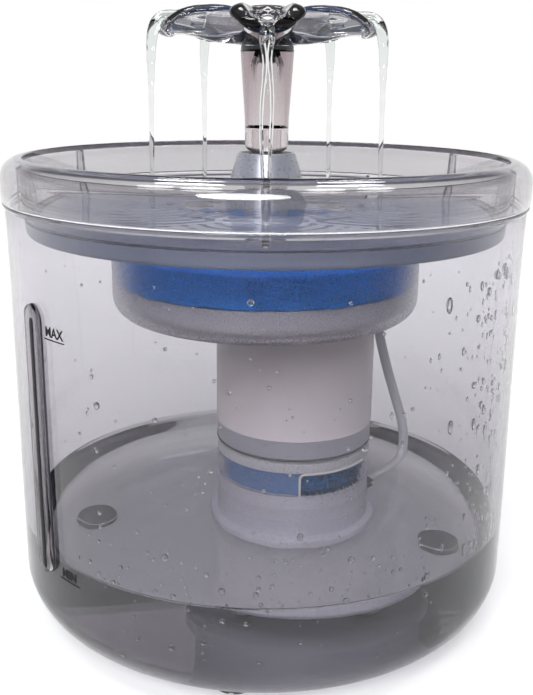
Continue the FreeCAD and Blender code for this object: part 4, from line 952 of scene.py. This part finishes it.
class FOUNTAIN_OT_column(bpy.types.Operator):
    """Make the pump's housing: base, window ring, sponge, collar, riser and seals"""
    bl_idname = "fountain.column"
    bl_label = "Column"

    def execute(self, context):
        for node, name in (("pump_base", "case"), ("housing_collar", "collar"), ("riser_tube", "spout")):
            dressed(node, name)
        ring = dressed("housing_window_ring", "ring", above=WINDOW_TOP + 0.4, other="ring_top")
        painted("rubber", "pump_suction_cups", "riser_seal", "cable_gland")
        painted("white", "sponge_grid")
        # The intake sponge takes the sponges' colour darkened as painted shade.
        foam_disc = dressed("intake_sponge", "lower_sponge_painted_shade")
        self.lip()
        self.seam()
        self.bristles()
        return {"FINISHED"}

    def lip(self):
        """A raised white lip along the window's near side and its top, as a rod on the ring's wall,
        whose corner is a quarter turn."""
        bend = 2.0
        corner = np.linspace(0, math.pi / 2, 8)
        turn = bend / WINDOW_RING_R
        azimuth = np.concatenate([np.full(6, WINDOW_FROM), WINDOW_FROM + turn * (1 - np.cos(corner)),
                                  np.linspace(WINDOW_FROM + turn, WINDOW_TO, 60)[1:]])
        z = np.concatenate([np.linspace(CASE_TOP, WINDOW_TOP - bend, 6),
                            WINDOW_TOP - bend + bend * np.sin(corner), np.full(59, WINDOW_TOP)])
        path = polar(WINDOW_RING_R + 0.1, azimuth, z) + (*HOUSING, 0)
        finished(sweep("window_lip", path, 0.46, 10), "white", body_of("housing_window_ring"))

    def seam(self):
        """The shade in the gap between the collar and the ring under it, painted as a thin dark rod round
        the housing.
        """
        path = polar(WINDOW_RING_R, np.linspace(0, 2 * math.pi, 97), RING_TOP) + (*HOUSING, 0)
        finished(sweep("collar_seam_painted_shade", path, 0.45, 8), "rubber", body_of("housing_collar"))

    def bristles(self, count=420):
        """Short spikes on the foam behind the window: four-sided pyramids with their base on the
        foam and their tip outwards, most of them along the lower edge and drooping there."""
        draw = np.random.default_rng(8)
        azimuth = draw.uniform(WINDOW_FROM + 0.02, WINDOW_TO - 0.02, count)
        z = np.where(np.arange(count) < count * 0.6, draw.uniform(CASE_TOP + 0.2, CASE_TOP + 1.6, count),
                     draw.uniform(CASE_TOP + 1.0, WINDOW_TOP - 0.6, count))
        out = polar(1.0, azimuth, 0.0)
        side = out[:, [1, 0, 2]] * [-1, 1, 1]
        up = np.array([0.0, 0.0, 1.0])
        base = np.append(HOUSING, 0) + out * (WINDOW_RING_R - 1.9) + z[:, None] * up
        reach = draw.uniform(1.2, 2.3, count)[:, None]
        droop = np.where(z < CASE_TOP + 1.6, draw.uniform(0.5, 2.2, count),
                         draw.uniform(-0.5, 0.7, count))[:, None]
        lean = draw.uniform(-0.8, 0.8, count)[:, None]
        thick = draw.uniform(0.16, 0.3, count)[:, None]
        points = np.stack([base - side * thick, base - up * thick, base + side * thick, base + up * thick,
                           base + out * reach - up * droop + side * lean], 1)
        first = 5 * np.arange(count)[:, None, None]
        feet = (np.array([(0, 3, 2, 1)]) + first).reshape(-1, 4).tolist()
        flanks = (np.array([(0, 1, 4), (1, 2, 4), (2, 3, 4), (3, 0, 4)]) + first).reshape(-1, 3).tolist()
        spikes = linked("bristles", mesh_of("bristles", points, feet + flanks))
        finished(spikes, "bristle", body_of("intake_sponge"))


# Pump

class FOUNTAIN_OT_pump(bpy.types.Operator):
    """Finish the pump, its rotor and its motor"""
    bl_idname = "fountain.pump"
    bl_label = "Pump"

    def execute(self, context):
        painted("dark", "pump_body", "pump_cover", "motor_cap")
        for name, node in (("white", "impeller"), ("magnet", "rotor_magnet"), ("steel", "rotor_shaft"),
                           ("ceramic", "shaft_bushes"), ("core", "stator_core"),
                           ("winding", "motor_coils"), ("board", "driver_board")):
            painted(name, node)
        return {"FINISHED"}


# Spout

PETAL_LENGTH = 35.6
PETAL_END = 2.0
PETAL_SIDES = 72
PETAL_STATIONS = np.array([
    (0.10, 4.4, 3.0, 8.8, 4.8, 1.0), (0.34, 7.9, 5.6, 11.6, 4.9, 0.4), (0.50, 10.2, 7.5, 12.2, 4.8, 0.9),
    (0.70, 11.6, 8.6, 11.9, 4.6, 2.4), (0.86, 11.4, 8.2, 10.8, 4.4, 3.1), (0.95, 10.2, 7.2, 9.2, 4.0, 2.6),
    (1.00, 8.8, 6.2, 7.9, 3.6, 1.9),
])
BORE_STEP_Z = 173.3


def curve_through(stations, places, at):
    """A natural cubic through (places, stations): second slopes solve the tridiagonal system of
    equal slopes at the inner places, and each span adds its cubic part to the straight line."""
    x, y = np.asarray(places, float), np.asarray(stations, float)
    h = np.diff(x)
    system = np.eye(len(x))
    right = np.zeros_like(y)
    for i in range(1, len(x) - 1):
        system[i, i - 1:i + 2] = h[i - 1], 2 * (h[i - 1] + h[i]), h[i]
        right[i] = 6 * ((y[i + 1] - y[i]) / h[i] - (y[i] - y[i - 1]) / h[i - 1])
    bend = np.linalg.solve(system, right)
    k = np.clip(np.searchsorted(x, at) - 1, 0, len(x) - 2)
    a, b = (x[k + 1] - at) / h[k], (at - x[k]) / h[k]
    a, b, shape = a[:, None], b[:, None], (h[k] ** 2 / 6)[:, None]
    return a * y[k] + b * y[k + 1] + ((a ** 3 - a) * bend[k] + (b ** 3 - b) * bend[k + 1]) * shape


def petal():
    """One petal as a grid: along it the half width, the lip's middle, the top, the channel and the
    underside follow curves through seven stations, and round it a closed curve runs through fourteen
    points: two round lips, a V channel and a keel."""
    share = np.linspace(PETAL_STATIONS[0, 0], 1.0, 60)
    half, lip, top, channel, under = curve_through(PETAL_STATIONS[:, 1:], PETAL_STATIONS[:, 0], share).T
    zero = np.zeros_like(half)
    side_y = np.stack([zero, lip * 0.45, lip * 0.85, lip * 1.02, half * 0.97, half, half * 0.62, zero], 1)
    side_z = np.stack([channel, channel + (top - channel) * 0.42, top - 0.35, top, top - 1.2,
                       top * 0.62 + under * 0.38, under + (top - under) * 0.2, under], 1)
    y = np.concatenate([side_y, -side_y[:, 6:0:-1]], 1)
    z = np.concatenate([side_z, side_z[:, 6:0:-1]], 1)
    count = y.shape[1]
    around = np.linspace(0, count, PETAL_SIDES, endpoint=False)
    k = around.astype(int)
    t = around - k
    weights = [-0.5 * t ** 3 + t ** 2 - 0.5 * t, 1.5 * t ** 3 - 2.5 * t ** 2 + 1,
               -1.5 * t ** 3 + 2 * t ** 2 + 0.5 * t, 0.5 * t ** 3 - 0.5 * t ** 2]
    y = sum(w * y[:, (k + n) % count] for w, n in zip(weights, (-1, 0, 1, 2)))
    z = sum(w * z[:, (k + n) % count] for w, n in zip(weights, (-1, 0, 1, 2)))
    nick = 3.2 * np.clip((share - 0.82) / 0.18, 0, 1) ** 2
    x = PETAL_LENGTH * share[:, None] - nick[:, None] * np.clip(1 - np.abs(y) / 6.0, 0, 1)
    rings = np.stack([x, y, HUB_LOW + z], -1)
    middle = rings.mean(1, keepdims=True)
    caps = []
    for swell in (0.35, 0.7, 0.9, 1.0):
        cap = middle[-1] + (rings[-1] - middle[-1]) * math.sqrt(1 - swell ** 2)
        caps.append(cap + np.array([swell * PETAL_END, 0, 0]))
    root = np.repeat(middle[:1], PETAL_SIDES, 1)
    return skin("petal", np.concatenate([root, rings, np.stack(caps)], 0), False, False, 60)


class FOUNTAIN_OT_spout(bpy.types.Operator):
    """Make the flower spout: stem, ring, outlet and five petals"""
    bl_idname = "fountain.spout"
    bl_label = "Spout"

    def execute(self, context):
        stem = lathe("stem", [
            (5.32, STEM_LOW, 0.4), (7.4, STEM_LOW, 2.2), (7.6, STEM_LOW + 11.1), (9.1, STEM_TOP),
            (2.8, STEM_TOP), (4.3, STEM_TOP - 4.8), (4.3, BORE_STEP_Z + 1), (5.32, BORE_STEP_Z),
        ], segments=96)
        finished(stem, "spout", "flower_spout", "spout_stem")
        # The stem ring's dark plastic is painted shade, for the shade in the gap under the hub; the outlet
        # is dark plastic.
        painted("dark", "stem_ring", "spout_outlet")
        hub = lathe("hub", [
            (0, HUB_LOW), (9.1, HUB_LOW), (10.6, HUB_LOW + 4.4, 2.0), (8.6, HUB_LOW + 5.4, 0.6),
            (6.6, HUB_LOW + 3.6, 1.0), (0, HUB_LOW + 3.6),
        ], segments=96)
        flower = joined("flower", copies(petal(), PETAL_COUNT, PETAL_FIRST) + [hub])
        remesh = flower.modifiers.new("skin", "REMESH")
        remesh.mode = "VOXEL"
        remesh.voxel_size = 0.55 * MM
        ease = flower.modifiers.new("ease", "SMOOTH")
        ease.factor = 0.5
        ease.iterations = 4
        bpy.context.view_layer.update()
        settled(flower, 180)
        finished(flower, "flower", "flower_spout", "flower_head")
        return {"FINISHED"}


# Water

SIDE_STREAM = [(22, 208.2, 1.3), (30, 208.8, 1.8), (35.6, 208.4, 2.0), (38.6, 205.2, 1.95),
               (39.7, 199, 1.6), (39.9, 192, 1.2), (40.0, 184, 0.85), (40.2, 168, 0.75), (40.5, 147.2, 0.85)]
FRONT_STREAM = [(24, 206.4, 0.8), (31, 205.4, 1.0), (36.2, 204.0, 1.1), (38.8, 200.8, 0.95),
                (39.5, 195, 0.8), (39.8, 185, 0.65), (40.2, 168, 0.6), (40.4, 147.2, 0.65)]
USUAL_WIDTH = 4.0
LANDING_R = 42.4
DRIP_AT = (74, -6)
INTO_WALL = 0.25
WET_TOP = 138


def falling(places, width, aside, seed, count=110):
    """A stream's middle and its radius: both run as a natural cubic through the places (reach,
    height, radius). Lower down it sways, and its radius swells and shrinks as a sum of two sines."""
    draw = np.random.default_rng(seed)
    t = np.linspace(0, 1, count)
    r, z, radius = curve_through(np.array(places), np.linspace(0, 1, len(places)), t).T
    low_part = np.clip((t - 0.4) / 0.6, 0, 1)
    first, second = draw.uniform(0, 6.28, 2)
    sway = aside * (1 + 0.35 * np.sin(17 * t + first)) + 0.22 * np.sin(9 * t + second) * low_part
    beads = 1 + 0.13 * np.sin(61 * t + first) * low_part + 0.09 * np.sin(97 * t + second) * low_part
    return np.stack([r, sway, z], 1), radius * beads * width / USUAL_WIDTH


def drop_field(name, centres, normals, sizes):
    """Many drops as one mesh: a low sphere scaled by each drop's sizes across, up and out of the
    wall, then moved to its place."""
    seed = bmesh.new()
    bmesh.ops.create_icosphere(seed, subdivisions=2, radius=1.0)
    ball = np.array([v.co for v in seed.verts])
    ball_faces = np.array([[v.index for v in f.verts] for f in seed.faces])
    seed.free()
    side = np.cross(normals, [0.0, 0.0, 1.0])
    side /= np.linalg.norm(side, axis=1, keepdims=True)
    up = np.cross(side, normals)
    points = (centres[:, None]
              + sizes[:, :1, None] * ball[None, :, :1] * side[:, None]
              + sizes[:, 1:2, None] * ball[None, :, 1:2] * up[:, None]
              + sizes[:, 2:3, None] * ball[None, :, 2:] * normals[:, None])
    first = (np.arange(len(centres)) * len(ball))[:, None, None]
    mesh = mesh_of(name, points, (ball_faces[None, :, ::-1] + first).reshape(-1, 3).tolist())
    mesh.shade_smooth()
    return linked(name, mesh)


class FOUNTAIN_OT_water(bpy.types.Operator):
    """Make the water in the tub and on the tray, the streams and the drops"""
    bl_idname = "fountain.water"
    bl_label = "Water"

    def execute(self, context):
        sizes = context.scene.fountain_sizes
        level = sizes.water_level / MM
        self.tub_water(level)
        self.tray_water(sizes.tray_water / MM)
        self.streams(sizes.stream_width / MM)
        self.drops(sizes.drops, level)
        return {"FINISHED"}

    def tub_water(self, level):
        """The tub's inside up to the level, a little into the plastic, with a meniscus at the wall."""
        low_r = TANK_R - WALL_LEAN - TANK_WALL + INTO_WALL
        low_z = FLOOR_Z - INTO_WALL
        top = [(r, level) for r in np.arange(low_r - 6, 1, -1.6)]
        body = lathe("tub_water", [
            (0, low_z), (low_r, low_z, 17.1), (low_r + 0.15, level + 1.3), (low_r - 0.9, level + 0.25, 0.8),
            (low_r - 3.5, level, 2.0), *top, (0, level),
        ], segments=256, steps=14, wobble=lambda points: self.ripples(points, level, low_r))
        finished(body, "water", "tank")

    def ripples(self, points, level, wall):
        """Slow crossed waves on the surface, and rings about the place where the tray's water lands:
        a cosine of the distance from it that dies away over eleven millimetres."""
        x, y, z = np.moveaxis(points, -1, 0)
        r = np.hypot(x, y)
        away = np.hypot(x - DRIP_AT[0], y - DRIP_AT[1])
        lift = 0.10 * np.sin(0.19 * x + 0.9) * np.sin(0.16 * y) + 0.05 * np.sin(0.42 * x - 0.3 * y)
        lift += 0.16 * np.cos(away * 0.9) * np.exp(-away / 11)
        lift *= np.clip((wall - 4 - r) / 8, 0, 1)
        return np.stack([x, y, np.where(np.abs(z - level) < 0.1, z + lift, z)], -1)

    def tray_water(self, depth):
        """A ring of water on the tray, its surface rippled around the five places where streams land."""
        r_in, r_out = 14.4, 81.1
        r = np.linspace(r_in, r_out, 120)
        a = np.linspace(0, 2 * math.pi, 420, endpoint=False)[:, None]
        x, y = r * np.cos(a), r * np.sin(a)
        lift = np.zeros_like(x)
        for i in range(PETAL_COUNT):
            turn = math.radians(PETAL_FIRST + PETAL_STEP * i)
            away = np.hypot(x - LANDING_R * math.cos(turn), y - LANDING_R * math.sin(turn))
            lift += 0.16 * np.cos(away * 1.15) * np.exp(-away / 11)
        top = polar(r, a, TRAY_Z + depth + lift)
        under = polar(np.array([r_out, r_in]), a, np.array([TRAY_Z - 0.15, TRAY_Z + TRAY_RISE - 0.15]))
        film = skin("tray_water", np.concatenate([top, under], 1), True, True, 40)
        finished(film, "film", "lid")

    def streams(self, width):
        """Two thin streams from the front petal, one from each other, and the spring over the outlet."""
        for i in range(PETAL_COUNT):
            azimuth = PETAL_FIRST + PETAL_STEP * i
            for n, aside in enumerate([0.0] if i else [-1.15, 1.15]):
                path, radius = falling(SIDE_STREAM if i else FRONT_STREAM, width, aside, 11 + 3 * i + n)
                stream = turned(sweep("stream_%d_%d" % (i + 1, n + 1), path, radius, 20), azimuth)
                stream.data.materials.append(finish("stream"))
                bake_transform(stream)
        mound = lathe("spring", [(0, 206.4), (8.6, 206.4, 0.8), (9.4, 209.4, 2.0), (7.6, 212.6, 3.4),
                                 (0, 213.6)], segments=72, steps=9)
        finished(mound, "water", "flower_spout")

    def drops(self, count, level):
        """Drops on the inside of the wall: a wet patch at the right, drops across the front that
        thin out upwards, and a few all round."""
        draw = np.random.default_rng(21)
        wet, front = count // 2, count // 3
        rest = count - wet - front
        azimuth = np.radians(np.concatenate([
            draw.normal(-30, 12, wet), draw.uniform(-128, -52, front), draw.uniform(-180, 180, rest)]))
        z = np.concatenate([
            draw.uniform(level + 2, WET_TOP, wet), level + 2 + 96 * draw.uniform(0, 1, front) ** 2.2,
            draw.uniform(level + 4, WET_TOP, rest)])
        z[wet:wet + front // 2] = draw.uniform(14, level + 20, front // 2)
        out = polar(1.0, azimuth, 0.0)
        places = out * (wall_radius(z) - TANK_WALL)[:, None] + z[:, None] * [0, 0, 1]
        size = np.clip(draw.lognormal(-0.9, 0.42, count), 0.2, 1.1)
        tall = np.where(np.arange(count) < wet, draw.uniform(1.0, 2.6, count),
                        draw.uniform(0.95, 1.15, count))
        field = drop_field("wall_drops", places, -out, np.stack([size, size * tall, size * 0.9], 1))
        finished(field, "stream", "tank")


class FOUNTAIN_PT_panel(bpy.types.Panel):
    bl_idname = "FOUNTAIN_PT_panel"
    bl_label = "Pet Water Fountain"
    bl_space_type = "VIEW_3D"
    bl_region_type = "UI"
    bl_category = "Fountain"

    def draw(self, context):
        layout = self.layout
        for group in (context.scene.fountain_sizes, context.scene.fountain_colours):
            for name in group.__annotations__:
                layout.prop(group, name)
        for step in STEPS:
            layout.operator(step.bl_idname)


STEPS = (FOUNTAIN_OT_stage, FOUNTAIN_OT_lead, FOUNTAIN_OT_tub, FOUNTAIN_OT_tray, FOUNTAIN_OT_filter,
         FOUNTAIN_OT_column, FOUNTAIN_OT_pump, FOUNTAIN_OT_spout, FOUNTAIN_OT_water)
CLASSES = (FountainSizes, FountainColours, FOUNTAIN_PT_panel) + STEPS


def register():
    for each in CLASSES:
        bpy.utils.register_class(each)
    bpy.types.Scene.fountain_sizes = bpy.props.PointerProperty(type=FountainSizes)
    bpy.types.Scene.fountain_colours = bpy.props.PointerProperty(type=FountainColours)


def unregister():
    del bpy.types.Scene.fountain_colours
    del bpy.types.Scene.fountain_sizes
    for each in reversed(CLASSES):
        bpy.utils.unregister_class(each)


def main():
    register()
    bpy.ops.fountain.stage()
    bpy.ops.fountain.lead()
    bpy.ops.fountain.tub()
    bpy.ops.fountain.tray()
    bpy.ops.fountain.filter_parts()
    bpy.ops.fountain.column()
    bpy.ops.fountain.pump()
    bpy.ops.fountain.spout()
    bpy.ops.fountain.water()


if __name__ == "__main__":
    main()
